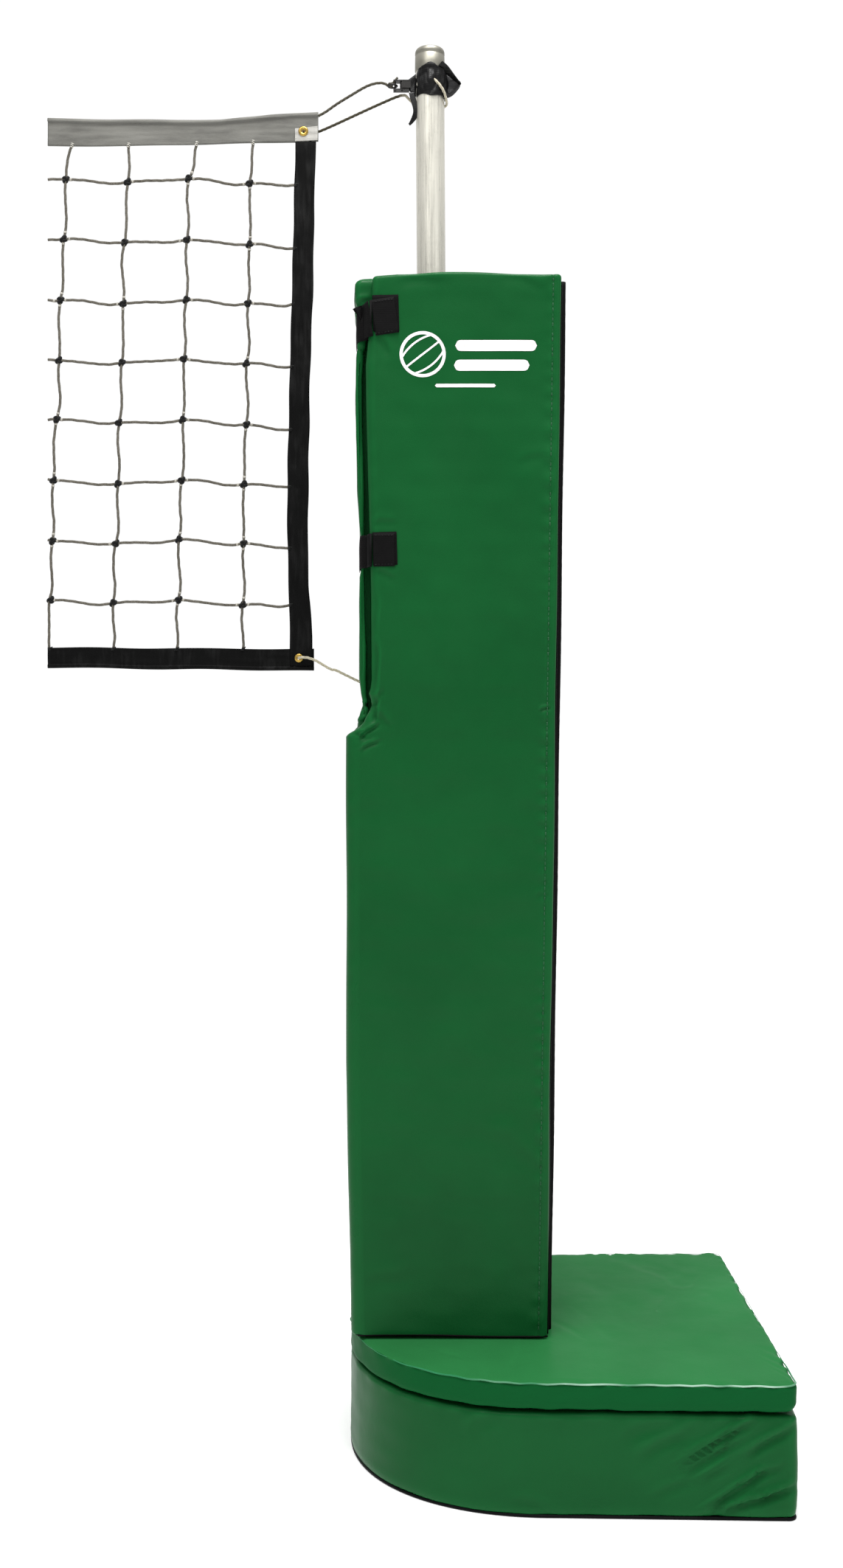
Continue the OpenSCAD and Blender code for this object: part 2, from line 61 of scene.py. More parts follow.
class Mat:
    """A procedural material; helpers add nodes and give back their output socket."""

    def __init__(self, name, colour, rough, metal=0.0, spec=0.5):
        self.mat = bpy.data.materials.new(name)
        self.mat.use_nodes = True
        self.tree = self.mat.node_tree
        self.tree.nodes.clear()
        self.bsdf = self.add("BsdfPrincipled", Base_Color=(*colour, 1), Roughness=rough, Metallic=metal,
                             Specular_IOR_Level=spec)
        self.add("OutputMaterial", Surface=self.bsdf.outputs[0])
        self.place = self.add("TexCoord").outputs["Object"]
        self.height = None

    def add(self, kind, **inputs):
        return add_node(self.tree, kind, **inputs)

    def link(self, a, b):
        self.tree.links.new(a, b)

    def stretched(self, scale):
        return self.add("Mapping", Scale=scale, Vector=self.place).outputs[0]

    def noise(self, scale, detail=4, stretch=(1, 1, 1), rough=0.55):
        n = self.add("TexNoise", Scale=scale, Detail=detail, Roughness=rough, Vector=self.stretched(stretch))
        return n.outputs["Fac"]

    def cells(self, scale):
        return self.add("TexVoronoi", Scale=scale, Vector=self.stretched((1, 1, 1))).outputs["Distance"]

    def wave(self, scale, axis):
        n = self.add("TexWave", Scale=scale, Distortion=0.0, Vector=self.place)
        n.wave_type = "BANDS"
        n.bands_direction = axis
        return n.outputs["Fac"]

    def ramp(self, fac, stops):
        n = self.tree.nodes.new("ShaderNodeValToRGB")
        e = n.color_ramp.elements
        while len(e) < len(stops):
            e.new(0.5)
        for slot, (at, colour) in zip(e, stops):
            slot.position = at
            slot.color = (*colour, 1) if len(colour) == 3 else colour
        self.link(fac, n.inputs["Fac"])
        return n.outputs["Color"]

    def tones(self, fac, colour, dark, light, lo=0.3, hi=0.7):
        """The colour times dark to the colour times light."""
        return self.ramp(fac, [(lo, shade(colour, dark)), (hi, shade(colour, light))])

    def span(self, fac, low, high, lo=0.0, hi=1.0):
        n = self.add("MapRange", From_Min=lo, From_Max=hi, To_Min=low, To_Max=high, Value=fac)
        return n.outputs["Result"]

    def math(self, kind, a, b):
        n = self.tree.nodes.new("ShaderNodeMath")
        n.operation = kind
        self.link(a, n.inputs[0])
        if isinstance(b, float):
            n.inputs[1].default_value = b
        else:
            self.link(b, n.inputs[1])
        return n.outputs[0]

    def mix(self, fac, a, b, blend="MIX"):
        n = self.tree.nodes.new("ShaderNodeMix")
        n.data_type = "RGBA"
        n.blend_type = blend
        for socket, value in (("Factor_Float", fac), ("A_Color", a), ("B_Color", b)):
            at = next(s for s in n.inputs if s.identifier == socket)
            if isinstance(value, bpy.types.NodeSocket):
                self.link(value, at)
            elif isinstance(value, float):
                at.default_value = value
            else:
                at.default_value = (*value, 1)
        return next(s for s in n.outputs if s.identifier == "Result_Color")

    def axis(self, which):
        return self.add("SeparateXYZ", Vector=self.place).outputs[which]

    def edges(self, low=0.5, high=0.56):
        """1 on raised edges, 0 on flats and hollows."""
        return self.span(self.add("NewGeometry").outputs["Pointiness"], 0.0, 1.0, low, high)

    def colour(self, socket):
        self.link(socket, self.bsdf.inputs["Base Color"])
        return self

    def roughness(self, socket):
        self.link(socket, self.bsdf.inputs["Roughness"])
        return self

    def bump(self, socket, distance, strength=1.0):
        n = self.add("Bump", Distance=distance, Strength=strength, Height=socket)
        if self.height is not None:
            self.link(self.height, n.inputs["Normal"])
        self.height = n.outputs["Normal"]
        self.link(self.height, self.bsdf.inputs["Normal"])
        return self

    def set(self, **values):
        for name, value in values.items():
            self.bsdf.inputs[name.replace("_", " ")].default_value = value
        return self


def shade(colour, k):
    return tuple(min(1.0, c * k) for c in colour)


def vinyl(name, colour, rough, light=1.35, side=None, painted_sheen=None, spec=0.07):
    """Coated cloth, lighter on raised edges: a painted highlight. side gives a darker colour below a height,
    painted shade; the paler colour given after side is painted in patches towards the square end as a
    highlight.
    """
    m = Mat(name, colour, rough, spec=spec)
    tone = m.tones(m.noise(3.2, 5), colour, 0.86, 1.12)
    # lighter on raised edges: a painted highlight
    tone = m.mix(m.edges(), tone, shade(colour, light))
    # darker below a height: painted shade on the sides
    if side:
        tone = m.mix(m.span(m.axis("Z"), 0.0, 1.0, side[1], side[2]), side[0], tone)
    # paler patches along the front rim towards the square end: a painted highlight
    if painted_sheen:
        outward = m.span(m.axis("X"), 0.0, 1.0, 0.04, 0.24)
        there = m.math("MULTIPLY", outward, m.span(m.noise(9, 3), 0.1, 1.0, 0.36, 0.54))
        near = m.span(m.axis("Y"), 1.0, 0.0, -0.335, -0.29)
        tone = m.mix(m.math("MULTIPLY", there, near), tone, painted_sheen)
    m.colour(tone)
    smear = m.noise(14, 4, (1, 1, 0.4))
    gloss = m.span(smear, rough - 0.06, rough + 0.09, 0.3, 0.7)
    m.roughness(m.math("SUBTRACT", gloss, m.math("MULTIPLY", m.edges(), 0.1)))
    m.bump(m.noise(26, 3), 0.0012, 0.35)
    m.bump(m.cells(620), 0.00012, 0.6)
    return m.mat


def weave(name, colour, rough, pitch, across="X", along="Z", dirt=0.25, spec=0.3):
    m = Mat(name, colour, rough, spec=spec)
    fibre = m.noise(900, 3)
    tone = m.tones(fibre, colour, 1 - dirt, 1 + dirt)
    m.colour(m.mix(0.4, tone, m.tones(m.noise(28, 4), colour, 0.75, 1.2, 0.35, 0.65)))
    m.roughness(m.span(fibre, rough - 0.1, min(1, rough + 0.1)))
    k = 2 * pi / pitch / 20
    ribs = m.math("MULTIPLY", m.wave(k, across), m.wave(k * 0.8, along))
    m.bump(ribs, 0.00025, 0.7)
    m.bump(fibre, 0.0002, 0.5)
    return m.mat


def black_cloth(name, colour, sheen, rough):
    """Heavy black tape: fine lengthwise streaks of a greyer sheen."""
    m = Mat(name, colour, rough, spec=0.12)
    streak = m.math("MULTIPLY", m.noise(150, 4, (1, 1, 0.12)), m.noise(16, 4))
    m.colour(m.ramp(streak, [(0.24, colour), (0.42, sheen)]))
    m.roughness(m.span(streak, rough + 0.1, rough - 0.1, 0.2, 0.45))
    m.bump(m.noise(700, 3), 0.0002, 0.5)
    return m.mat


def tape_cloth(name, colour, soiled, rough):
    """Pale coated tape with darker lengthwise smudges."""
    m = Mat(name, colour, rough, spec=0.15)
    smudge = m.noise(13, 5, (0.5, 1, 2.2), rough=0.65)
    tone = m.ramp(smudge, [(0.36, soiled), (0.52, colour), (0.72, shade(colour, 1.25))])
    m.colour(m.mix(0.25, tone, m.tones(m.noise(900, 3), colour, 0.8, 1.2)))
    m.bump(m.noise(60, 4, (0.3, 1, 1.6)), 0.0012, 0.6)
    m.bump(m.noise(900, 3), 0.0002, 0.5)
    return m.mat


def metal(name, colour, rough, grain=(40, 40, 1.2), metallic=1.0, worn=0.15):
    m = Mat(name, colour, rough, metal=metallic)
    streak = m.noise(9, 5, grain)
    spot = m.noise(60, 5)
    tone = m.tones(streak, colour, 1 - worn, 1 + worn / 2)
    m.colour(m.mix(m.span(spot, 0.0, 0.35, 0.55, 0.8), tone, shade(colour, 0.62)))
    m.roughness(m.span(streak, rough - 0.07, rough + 0.12, 0.3, 0.7))
    m.bump(streak, 0.0001, 0.5)
    return m.mat


def paint(name, colour, rough, worn=(0.3, 0.28, 0.26)):
    m = Mat(name, colour, rough, spec=0.45)
    tone = m.tones(m.noise(7, 5), colour, 0.85, 1.12)
    chip = m.math("MULTIPLY", m.edges(0.6, 0.7), m.span(m.noise(85, 5), 0.0, 1.0, 0.5, 0.62))
    m.colour(m.mix(chip, tone, worn))
    m.roughness(m.span(m.noise(30, 4), rough - 0.08, rough + 0.12))
    m.bump(m.noise(420, 2), 0.00012, 0.5)
    return m.mat


def plain(name, colour, rough, bumps=300, depth=0.0001, spec=0.4):
    m = Mat(name, colour, rough, spec=spec)
    m.colour(m.tones(m.noise(22, 5), colour, 0.8, 1.2))
    m.roughness(m.span(m.noise(60, 4), rough - 0.08, min(1, rough + 0.08)))
    m.bump(m.noise(bumps, 3), depth, 0.6)
    return m.mat


def cord_mat(name, colour, dark, soiled=None):
    """Laid cord; soiled gives a darker colour that it takes on away from the mast."""
    m = Mat(name, colour, 0.8, spec=0.2)
    tone = m.ramp(m.noise(420, 4), [(0.3, dark), (0.65, colour)])
    if soiled:
        tone = m.mix(m.span(m.axis("X"), 0.0, 1.0, -0.06, -0.035), soiled, tone)
    patchy = m.tones(m.noise(18, 4), (1.0, 1.0, 1.0), 0.7, 1.0, 0.35, 0.65)
    m.colour(m.mix(0.5, tone, patchy, "MULTIPLY"))
    m.set(Sheen_Weight=0.15)
    m.bump(m.noise(1500, 2), 0.00015, 0.6)
    return m.mat


GREEN = (0.0055, 0.080, 0.0195)
BLACK = (0.003, 0.003, 0.0035)
MATS = {
    "pad_vinyl": vinyl("pad_vinyl", GREEN, 0.34),
    "black_vinyl": vinyl("black_vinyl", BLACK, 0.42, 1.8),
    "webbing": weave("webbing", (0.0016, 0.0016, 0.0018), 0.38, 0.003, spec=0.25),
    "hook_loop": weave("hook_loop", (0.0045, 0.004, 0.0044), 0.85, 0.002, dirt=0.4, spec=0.08),
    "mast_metal": metal("mast_metal", (0.71, 0.69, 0.61), 0.3, metallic=0.55, worn=0.15),
    "zinc": metal("zinc", (0.50, 0.50, 0.47), 0.34, (6, 6, 6)),
    "base_steel": paint("base_steel", (0.035, 0.037, 0.04), 0.45),
    "sleeve_paint": plain("sleeve_paint", (0.03, 0.032, 0.035), 0.4, 200, 0.00005),
    "nylon": plain("nylon", (0.72, 0.71, 0.66), 0.45),
    "hub_plastic": plain("hub_plastic", (0.45, 0.45, 0.43), 0.4),
    "tyre_rubber": plain("tyre_rubber", (0.015, 0.015, 0.016), 0.78, 500, 0.0002),
    "grip_plastic": plain("grip_plastic", (0.012, 0.012, 0.013), 0.38),
    "tape_cloth": tape_cloth("tape_cloth", (0.17, 0.168, 0.153), (0.10, 0.098, 0.09), 0.8),
    "black_tape": black_cloth("black_tape", (0.0006, 0.0006, 0.0006), (0.0065, 0.0065, 0.0065), 0.66),
    "twine": cord_mat("twine", (0.15, 0.138, 0.112), (0.07, 0.062, 0.05)),
    "knot_twine": cord_mat("knot_twine", (0.003, 0.003, 0.003), (0.001, 0.001, 0.001)),
    "grey_cord": cord_mat("grey_cord", (0.09, 0.08, 0.055), (0.03, 0.026, 0.017)),
    "cream_cord": cord_mat("cream_cord", (0.62, 0.57, 0.43), (0.38, 0.34, 0.24)),
    "brass": metal("brass", (0.50, 0.33, 0.08), 0.3, (8, 8, 8)),
}
# Top pad: a lighter green, painted light on its top, and a darker green below its upper edge, painted shade
# on its side
LIT_TOP_VINYL = vinyl("top_pad_vinyl", (0.022, 0.163, 0.046), 0.36, spec=0.015,
               side=((0.005, 0.083, 0.021), 0.215, 0.218))
# Paler green for the edge round the top pad, paler still in patches at the front: a painted highlight
PIPING_SHEEN = vinyl("piping_vinyl", (0.02, 0.15, 0.06), 0.42, painted_sheen=(0.36, 0.55, 0.43))
PRINT = plain("print_white", (0.85, 0.85, 0.84), 0.4)
THREAD = cord_mat("thread", (0.02, 0.13, 0.05), (0.008, 0.06, 0.02))
PALE_TWINE = cord_mat("pale_twine", (0.52, 0.50, 0.45), (0.30, 0.28, 0.24))
PALE_THREAD = cord_mat("pale_thread", (0.7, 0.68, 0.62), (0.45, 0.43, 0.38))
TIE_CORD = cord_mat("tie_cord_laid", (0.66, 0.61, 0.48), (0.42, 0.38, 0.28), (0.045, 0.038, 0.02))
# Lighter grey webbing for the inside of the strap's loop: a painted sheen
INSIDE_SHEEN = weave("strap_inside", (0.02, 0.02, 0.021), 0.6, 0.003)
# Plain black: the welt's own, and painted shade on the strips along the front panel's right side and foot
WELT_AND_SHADE = plain("welt_and_shade_black", (0.002, 0.002, 0.002), 0.7, spec=0.1)
BRIGHT_TAPE = weave("tape_patch", (0.42, 0.41, 0.38), 0.7, 0.0016, dirt=0.08)
DARK_METAL = metal("dark_metal", (0.012, 0.011, 0.01), 0.45, (6, 6, 6), metallic=0.4)
# The cap is the mast's metal; this darker copy is painted shade
CAP_METAL = metal("cap_metal", (0.30, 0.29, 0.245), 0.42, (6, 6, 3), metallic=0.9, worn=0.1)
STRAP_WEB = weave("strap_web", (0.0035, 0.0033, 0.0035), 0.7, 0.003, spec=0.08)

for part in frame["record"]["subparts"]:
    node = frame["nodes"][part["node"]]
    node.data.materials.clear()
    node.data.materials.append(MATS[part["material_slot"]])
for name in ("buckle_frame", "buckle_pins", "cam_lever", "tie_ring"):
    frame["nodes"][name].data.materials[0] = DARK_METAL


# ---------------------------------------------------------------- mesh helpers
def clamp(v):
    return min(1, max(0, v))


def piece(name, mesh, body, slot, stands_for=(), mat=None):
    """An object from (points, faces) in mm; its material is the slot's own unless one is given."""
    points, faces = mesh
    me = bpy.data.meshes.new(name)
    me.from_pydata((np.asarray(points, float) * MM).tolist(), [], [list(map(int, f)) for f in faces])
    me.polygons.foreach_set("use_smooth", [True] * len(me.polygons))
    me.materials.append(mat or MATS[slot])
    me.update()
    ob = bpy.data.objects.new(name, me)
    bpy.context.scene.collection.objects.link(ob)
    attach(ob, body)
    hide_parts(*stands_for)
    return ob


def loft(rings, closed=True, caps=True):
    """Quads between rings of the same length; gives (points, faces)."""
    rings = np.asarray(rings, float)
    n, m = rings.shape[:2]
    idx = np.arange(n * m).reshape(n, m)
    a, b = idx[:-1], idx[1:]
    if closed:
        quads = np.stack([a, np.roll(a, -1, 1), np.roll(b, -1, 1), b], -1)
    else:
        quads = np.stack([a[:, :-1], a[:, 1:], b[:, 1:], b[:, :-1]], -1)
    faces = quads.reshape(-1, 4).tolist()
    if caps and closed:
        faces += [idx[0][::-1].tolist(), idx[-1].tolist()]
    return rings.reshape(-1, 3), faces


def merge(*parts):
    """One (points, faces) from several."""
    points, faces, at = [], [], 0
    for p, f in parts:
        points.append(np.asarray(p, float))
        faces += [[i + at for i in face] for face in f]
        at += len(p)
    return np.concatenate(points), faces


def normals(rings, closed=True):
    """Outward normal at each point of a grid of rings."""
    r = np.asarray(rings, float)
    if closed:
        du = np.roll(r, -1, 1) - np.roll(r, 1, 1)
    else:
        du = np.gradient(r, axis=1)
    dv = np.gradient(r, axis=0)
    n = np.cross(du, dv)
    size = np.linalg.norm(n, axis=-1, keepdims=True)
    return n / np.maximum(size, 1e-9)


def pushed(rings, lift):
    """Rings moved out along their normals by lift."""
    return rings + normals(rings) * lift[..., None]


def flipped(mesh):
    """The same (points, faces) turned inside out."""
    return mesh[0], [f[::-1] for f in mesh[1]]


def strip(grid, step, edge=0.0):
    """A thin closed strip: a grid and its copy moved by step, with both edges eased back."""
    other = grid + np.array(step, float)
    other[:, (0, -1), 0] -= edge
    return loft(np.concatenate([grid, other[:, ::-1]], axis=1))


def pierced(mesh, hole, radius):
    """The mesh without its small faces nearer than radius to hole, given as (x, z)."""
    points, faces = mesh
    kept = []
    for f in faces:
        c = np.mean(points[f], axis=0)
        if len(f) > 4 or hypot(c[0] - hole[0], c[2] - hole[1]) > radius:
            kept.append(f)
    return points, kept


def waves(p, size, seed, terms=7):
    """Smooth seeded unevenness, about -1 to 1, at points p in mm."""
    g = np.random.default_rng(seed)
    total = np.zeros(p.shape[:-1])
    for _ in range(terms):
        d = g.normal(size=3)
        d /= np.linalg.norm(d)
        k = 2 * pi / (size * g.uniform(0.7, 1.6))
        total += np.sin(p @ d * k + g.uniform(0, 6.3))
    return total / sqrt(terms) / 1.2


def uneven(p, seed, broad, broad_size, fine, fine_size):
    """A broad and a fine unevenness together, in mm."""
    return broad * waves(p, broad_size, seed) + fine * waves(p, fine_size, seed + 1)


def crease(u, v, a, b, width, depth):
    """A fold from a to b in the plane (u, v): a groove with a raised lip, fading at its ends."""
    a, b = np.array(a, float), np.array(b, float)
    d = b - a
    length = np.linalg.norm(d)
    d = d / length
    along = ((u - a[0]) * d[0] + (v - a[1]) * d[1]) / length
    away = -(u - a[0]) * d[1] + (v - a[1]) * d[0]
    away = away - width * 0.5 * np.sin(along * 5)
    fade = np.clip(np.minimum(along, 1 - along) * 3 + 0.25, 0, 1)
    s = away / width
    return depth * fade * (-np.exp(-s * s) + 0.8 * np.exp(-((s - 1.7) ** 2)))


def creases(u, v, folds):
    """The sum of folds, each given as (from, to, width, depth)."""
    return sum(crease(u, v, *fold) for fold in folds)


def dense_ends(n, k=0.7):
    t = np.linspace(0, 1, n + 1)
    return t - k * np.sin(2 * pi * t) / (2 * pi)


def section(x0, x1, y0, y1, radii, counts, arc=7):
    """Rounded rectangle, anticlockwise from the front-left corner."""
    r = [min(q, (x1 - x0) / 2.02, (y1 - y0) / 2.02) for q in radii]
    corners = [(x0 + r[0], y0 + r[0], 180), (x1 - r[1], y0 + r[1], 270),
               (x1 - r[2], y1 - r[2], 0), (x0 + r[3], y1 - r[3], 90)]
    pts = []
    for i, (cx, cy, start) in enumerate(corners):
        for k in range(arc):
            a = radians(start + 90 * k / (arc - 1))
            pts.append((cx + r[i] * cos(a), cy + r[i] * sin(a)))
        nx, ny, nstart = corners[(i + 1) % 4]
        rn = r[(i + 1) % 4]
        a = radians(nstart)
        end = (nx + rn * cos(a), ny + rn * sin(a))
        here = pts[-1]
        for t in dense_ends(counts[i])[1:-1]:
            pts.append((here[0] + (end[0] - here[0]) * t, here[1] + (end[1] - here[1]) * t))
    return np.array(pts)


def slab(z0, z1, left, right, y0, y1, radii, counts, step, end_r, finer=(), nose=None, foot_r=None):
    """Rings of an upright padded board whose left and right edges may vary with height."""
    foot = foot_r or end_r
    zs = [(z0, foot + 14), (z0, foot + 7), (z0, foot + 2)]
    for k in range(6):
        a = radians(90 - 18 * k)
        zs.append((z0 + foot - foot * sin(a), foot - foot * cos(a)))
    z = z0 + foot + step
    while z < z1 - end_r - step / 2:
        zs.append((z, 0.0))
        z += min([step] + [s for lo, hi, s in finer if lo <= z <= hi])
    for k in range(6):
        a = radians(18 * k)
        zs.append((z1 - end_r + end_r * sin(a), end_r - end_r * cos(a)))
    zs += [(z1, end_r + 2), (z1, end_r + 7), (z1, end_r + 14)]
    rings = []
    for z, inset in zs:
        x0, x1 = left(z) + inset, right(z) - inset
        corner = (nose(z), *radii[1:]) if nose else radii
        pts = section(x0, x1, y0 + inset, y1 - inset,
                      [max(q - inset, 1.0) for q in corner], counts)
        rings.append(np.column_stack([pts, np.full(len(pts), z)]))
    return np.array(rings)


def tube(path, radius, sides=12, strands=0, pitch=12.0, lump=0.0, caps=True):
    """Tube along a path in mm; with strands it is laid up like a rope."""
    p = np.asarray(path, float)
    n = len(p)
    t = np.gradient(p, axis=0)
    t /= np.linalg.norm(t, axis=1, keepdims=True)
    ref = np.array([0, 0, 1.0]) if abs(t[0][2]) < 0.8 else np.array([0, 1.0, 0])
    u = np.cross(t[0], ref)
    u /= np.linalg.norm(u)
    s = np.concatenate([[0], np.cumsum(np.linalg.norm(np.diff(p, axis=0), axis=1))])
    ang = np.linspace(0, 2 * pi, sides, endpoint=False)
    rings = []
    for i in range(n):
        u = u - t[i] * np.dot(u, t[i])
        u /= np.linalg.norm(u)
        v = np.cross(t[i], u)
        r = radius if np.isscalar(radius) else radius[i]
        rr = np.full(sides, float(r))
        if strands:
            lay = np.abs(np.cos((ang * strands - 2 * pi * s[i] / pitch) / 2))
            rr = r * (0.74 + 0.26 * lay)
        if lump:
            rr = rr * (1 + lump * sin(s[i] * 0.9) * sin(s[i] * 0.37))
        rings.append(p[i] + rr[:, None] * (np.cos(ang)[:, None] * u + np.sin(ang)[:, None] * v))
    return loft(np.array(rings), caps=caps)


def smooth_path(points, gap):
    """Catmull-Rom through the points, sampled about every gap mm."""
    p = np.asarray(points, float)
    p = np.vstack([2 * p[0] - p[1], p, 2 * p[-1] - p[-2]])
    out = []
    for i in range(1, len(p) - 2):
        a, b, c, d = p[i - 1], p[i], p[i + 1], p[i + 2]
        n = max(2, int(np.linalg.norm(c - b) / gap))
        for t in np.linspace(0, 1, n, endpoint=False):
            out.append(0.5 * (2 * b + (c - a) * t + (2 * a - 5 * b + 4 * c - d) * t * t
                              + (3 * b - a - 3 * c + d) * t ** 3))
    out.append(p[-2])
    return np.array(out)


def lathe(profile, centre, axis="Z", sides=48):
    """Surface turned from (radius, height) points about an upright or a Y axis."""
    ang = np.linspace(0, 2 * pi, sides, endpoint=False)
    rings = []
    for r, h in profile:
        if axis == "Z":
            ring = np.column_stack([r * np.cos(ang), r * np.sin(ang), np.full(sides, h)])
        else:
            ring = np.column_stack([r * np.sin(ang), np.full(sides, h), r * np.cos(ang)])
        rings.append(ring + np.array(centre, float))
    return np.array(rings)


def ribbon(path, across, half_width, half_thick, wrinkle=0.0, seed=1, edge=3):
    """A flat strap along a path; across gives the direction of its width at each point."""
    p = np.asarray(path, float)
    t = np.gradient(p, axis=0)
    t /= np.linalg.norm(t, axis=1, keepdims=True)
    rings = []
    for i in range(len(p)):
        w = np.asarray(across[i] if len(np.shape(across)) > 1 else across, float)
        w = w - t[i] * np.dot(w, t[i])
        w /= np.linalg.norm(w)
        n = np.cross(t[i], w)
        hw = half_width[i] if np.ndim(half_width) else half_width
        ring = []
        cols = np.linspace(-1, 1, 13)
        for c in cols:
            ring.append((c * hw, -half_thick * (1 - abs(c) ** 8 * 0.6)))
        for c in cols[::-1]:
            ring.append((c * hw, half_thick * (1 - abs(c) ** 8 * 0.6)))
        rings.append([p[i] + a * w + b * n for a, b in ring])
    rings = np.array(rings)
    if wrinkle:
        mid = (rings + rings[:, ::-1]) / 2
        lift = waves(mid, 26, seed) * wrinkle
        rings = rings + normals(rings)[:, :1] * lift[..., None]
    return loft(rings)


# ---------------------------------------------------------------- upright pad
Z0, Z1 = 222.3, 2058.5          # foot and top of the front panel
FOOT = 218.8                    # foot of the other boards
LEAN = 26.0                     # how far the right edge leans out over the pad's height
DOOR_FRONT, DOOR_BACK = -141.0, -91.0
WELT_Y = -88.0                  # the fold that the front panel swings on
SLOT = 8.5                      # half the width of the slot for the net's lower cord
STEP_ZONE = (1230, 1320)        # heights that get closer rings


def right_edge(z):
    return 196 + LEAN * (z - 228) / 1827


def hem_edge(z):
    """The front panel reaches a little past the boards behind it."""
    return right_edge(z) + 2.5


def ease(a, b, t):
    t = np.clip(t, 0, 1)
    return a + (b - a) * (t * t * (3 - 2 * t))


def front_left(z):
    low = -140 - 9 * clamp((z - Z0) / 470)
    if z < 1258:
        return low
    return float(np.interp(z, [1258, 1263, 1268, 1274, 1282, 1293, 1302, 1312, 1322, 1331, 1341, 1356, 1500,
                               1850, 1900, 1945, 1990, 2010, 2055],
                           [low, -144, -135, -126, -119, -114, -109, -105, -106, -110, -107, -105, -105, -113,
                            -114, -110, -104, -103, -103]))


def back_left(z):
    return float(ease(-140 - 8 * clamp((z - Z0) / 470), -127.5, (z - 1259) / 34))


def door_foot(x):
    """The door's foot arches up a little, so that it clears the base as it swings on its leaning hinge."""
    return 3.4 * np.exp(-((x + 45) / 112) ** 2)


def door_swell(p, xl):
    """Unevenness that the front panel's cover and its lining share; xl is the left edge."""
    xr = hem_edge(p[..., 2])
    inner = np.clip((xr - p[..., 0]) / 40, 0, 1) * np.clip((p[..., 0] - xl) / 40, 0, 1)
    return 1.1 * waves(p, 300, 11) + 0.45 * waves(p * [1, 1, 1.8], 75, 12) * inner


def front_relief(p, n):
    """How far the front panel's cover stands off its plain board."""
    x, z = p[..., 0], p[..., 2]
    face = np.clip(-n[..., 1], 0, 1)
    xr = hem_edge(z)
    xl = np.where(z < 1270, -148.0, np.interp(z, [1270, 1500, 1850, 2000], [-108.0, -105.0, -113.0, -103.0]))
    out = door_swell(p, xl)
    near = np.exp(-((xr - 15 - x) / 2.2) ** 2)
    out -= face * near * (1.3 + 0.9 * np.sin(z / 2.1) * (0.6 + 0.4 * np.sin(z / 37)))
    pucker = np.exp(-((xr - 19 - x) / 10) ** 2)
    out += face * pucker * 1.6 * np.sin(z / 5.3 + 3 * np.sin(z / 61)) * (0.6 + 0.4 * np.sin(z / 83))
    lip = np.exp(-((x - xl - 8) / 7) ** 2)
    out += face * lip * 0.5 * np.sin(z / 9 + 2 * np.sin(z / 45))
    return out + face * creases(x, z, [
        ((-125, 1252), (-92, 1280), 3.6, 4.2), ((-122, 1232), (-90, 1252), 3.6, 3.2),
        ((-138, 1262), (-112, 1258), 4, 2.4), ((-112, 1300), (-94, 1322), 4, 2.2),
        ((-104, 1292), (-70, 1276), 7, 1.6), ((-98, 1420), (-102, 1300), 5, 1.4),
        ((-101, 1330), (-97, 1282), 3.5, 3.0), ((-99, 1420), (-97, 1345), 4, 2.2),
        ((-98, 1500), (-99, 1440), 4, 1.6), ((-97, 1312), (-86, 1338), 4, 2.6),
        ((186, 1300), (204, 1309), 3, 2.4),
        ((180, 980), (202, 990), 4, 1.6), ((150, 1720), (196, 1745), 8, 1.2),
        ((-70, 1120), (60, 1180), 26, 1.2), ((60, 900), (180, 960), 24, 1.3),
        ((-120, 300), (-40, 330), 12, 1.2), ((90, 560), (185, 520), 16, 1.3),
        ((-100, 1945), (-70, 1915), 7, 2.0), ((-100, 1540), (-62, 1530), 6, 1.8),
        ((-104, 1620), (-60, 1628), 6, 1.6), ((120, 2048), (200, 2030), 8, 1.2),
        ((-60, 2034), (30, 2046), 9, 1.4), ((-20, 700), (90, 650), 30, 1.0)])


def top_sag(x):
    """How the front panel's top edge dips and rolls across its width."""
    return -7 * np.clip((-60 - x) / 60, 0, 1) + 2.0 * np.sin(x / 38) - 1.0


rings = slab(Z0, Z1, front_left, hem_edge, DOOR_FRONT, DOOR_BACK, (24, 9, 20, 6), (64, 8, 18, 8), 5.5, 7,
             [(*STEP_ZONE, 2.2)], foot_r=4,
             nose=lambda z: float(np.interp(z, [1255, 1275, 1980, 2010], [24, 15, 15, 9])))
tall = np.clip((rings[..., 2] - 1980) / 70, 0, 1)
rings[..., 2] += tall * top_sag(rings[..., 0])
n = normals(rings)
rings = rings + n * front_relief(rings, n)[..., None]
rings[..., 2] = np.maximum(rings[..., 2], Z0)
rings[..., 2] += door_foot(rings[..., 0]) * np.clip((260 - rings[..., 2]) / 30, 0, 1)
front_pad = piece("front_pad", loft(rings), "door", "pad_vinyl", ["front_panel"])


def front_y(x, z):
    """The Y of the front panel's cover."""
    p = np.array([[x, DOOR_FRONT, z]])
    return DOOR_FRONT - float(front_relief(p, np.array([[0, -1.0, 0]]))[0])


def side_relief(p, seed):
    """Unevenness of a plain board."""
    return uneven(p, seed, 1.3, 260, 0.5, 80)


def board(name, node, rings, seed):
    mesh = loft(pushed(rings, side_relief(rings, seed)))
    piece(name, mesh, "root", "pad_vinyl", [node])


board("right_pad", "right_panel",
      slab(FOOT, Z1, lambda z: right_edge(z) - 50, right_edge, -87, 90, (5, 7, 16, 5),
           (8, 26, 8, 20), 9, 8), 21)
board("back_pad", "back_panel",
      slab(FOOT, Z1, back_left, right_edge, 91.5, 140, (6, 14, 14, 22),
           (22, 8, 44, 8), 9, 9, [(*STEP_ZONE, 4)]), 31)


def lower_left(z):
    return -140 - 7 * clamp((z - Z0) / 470)


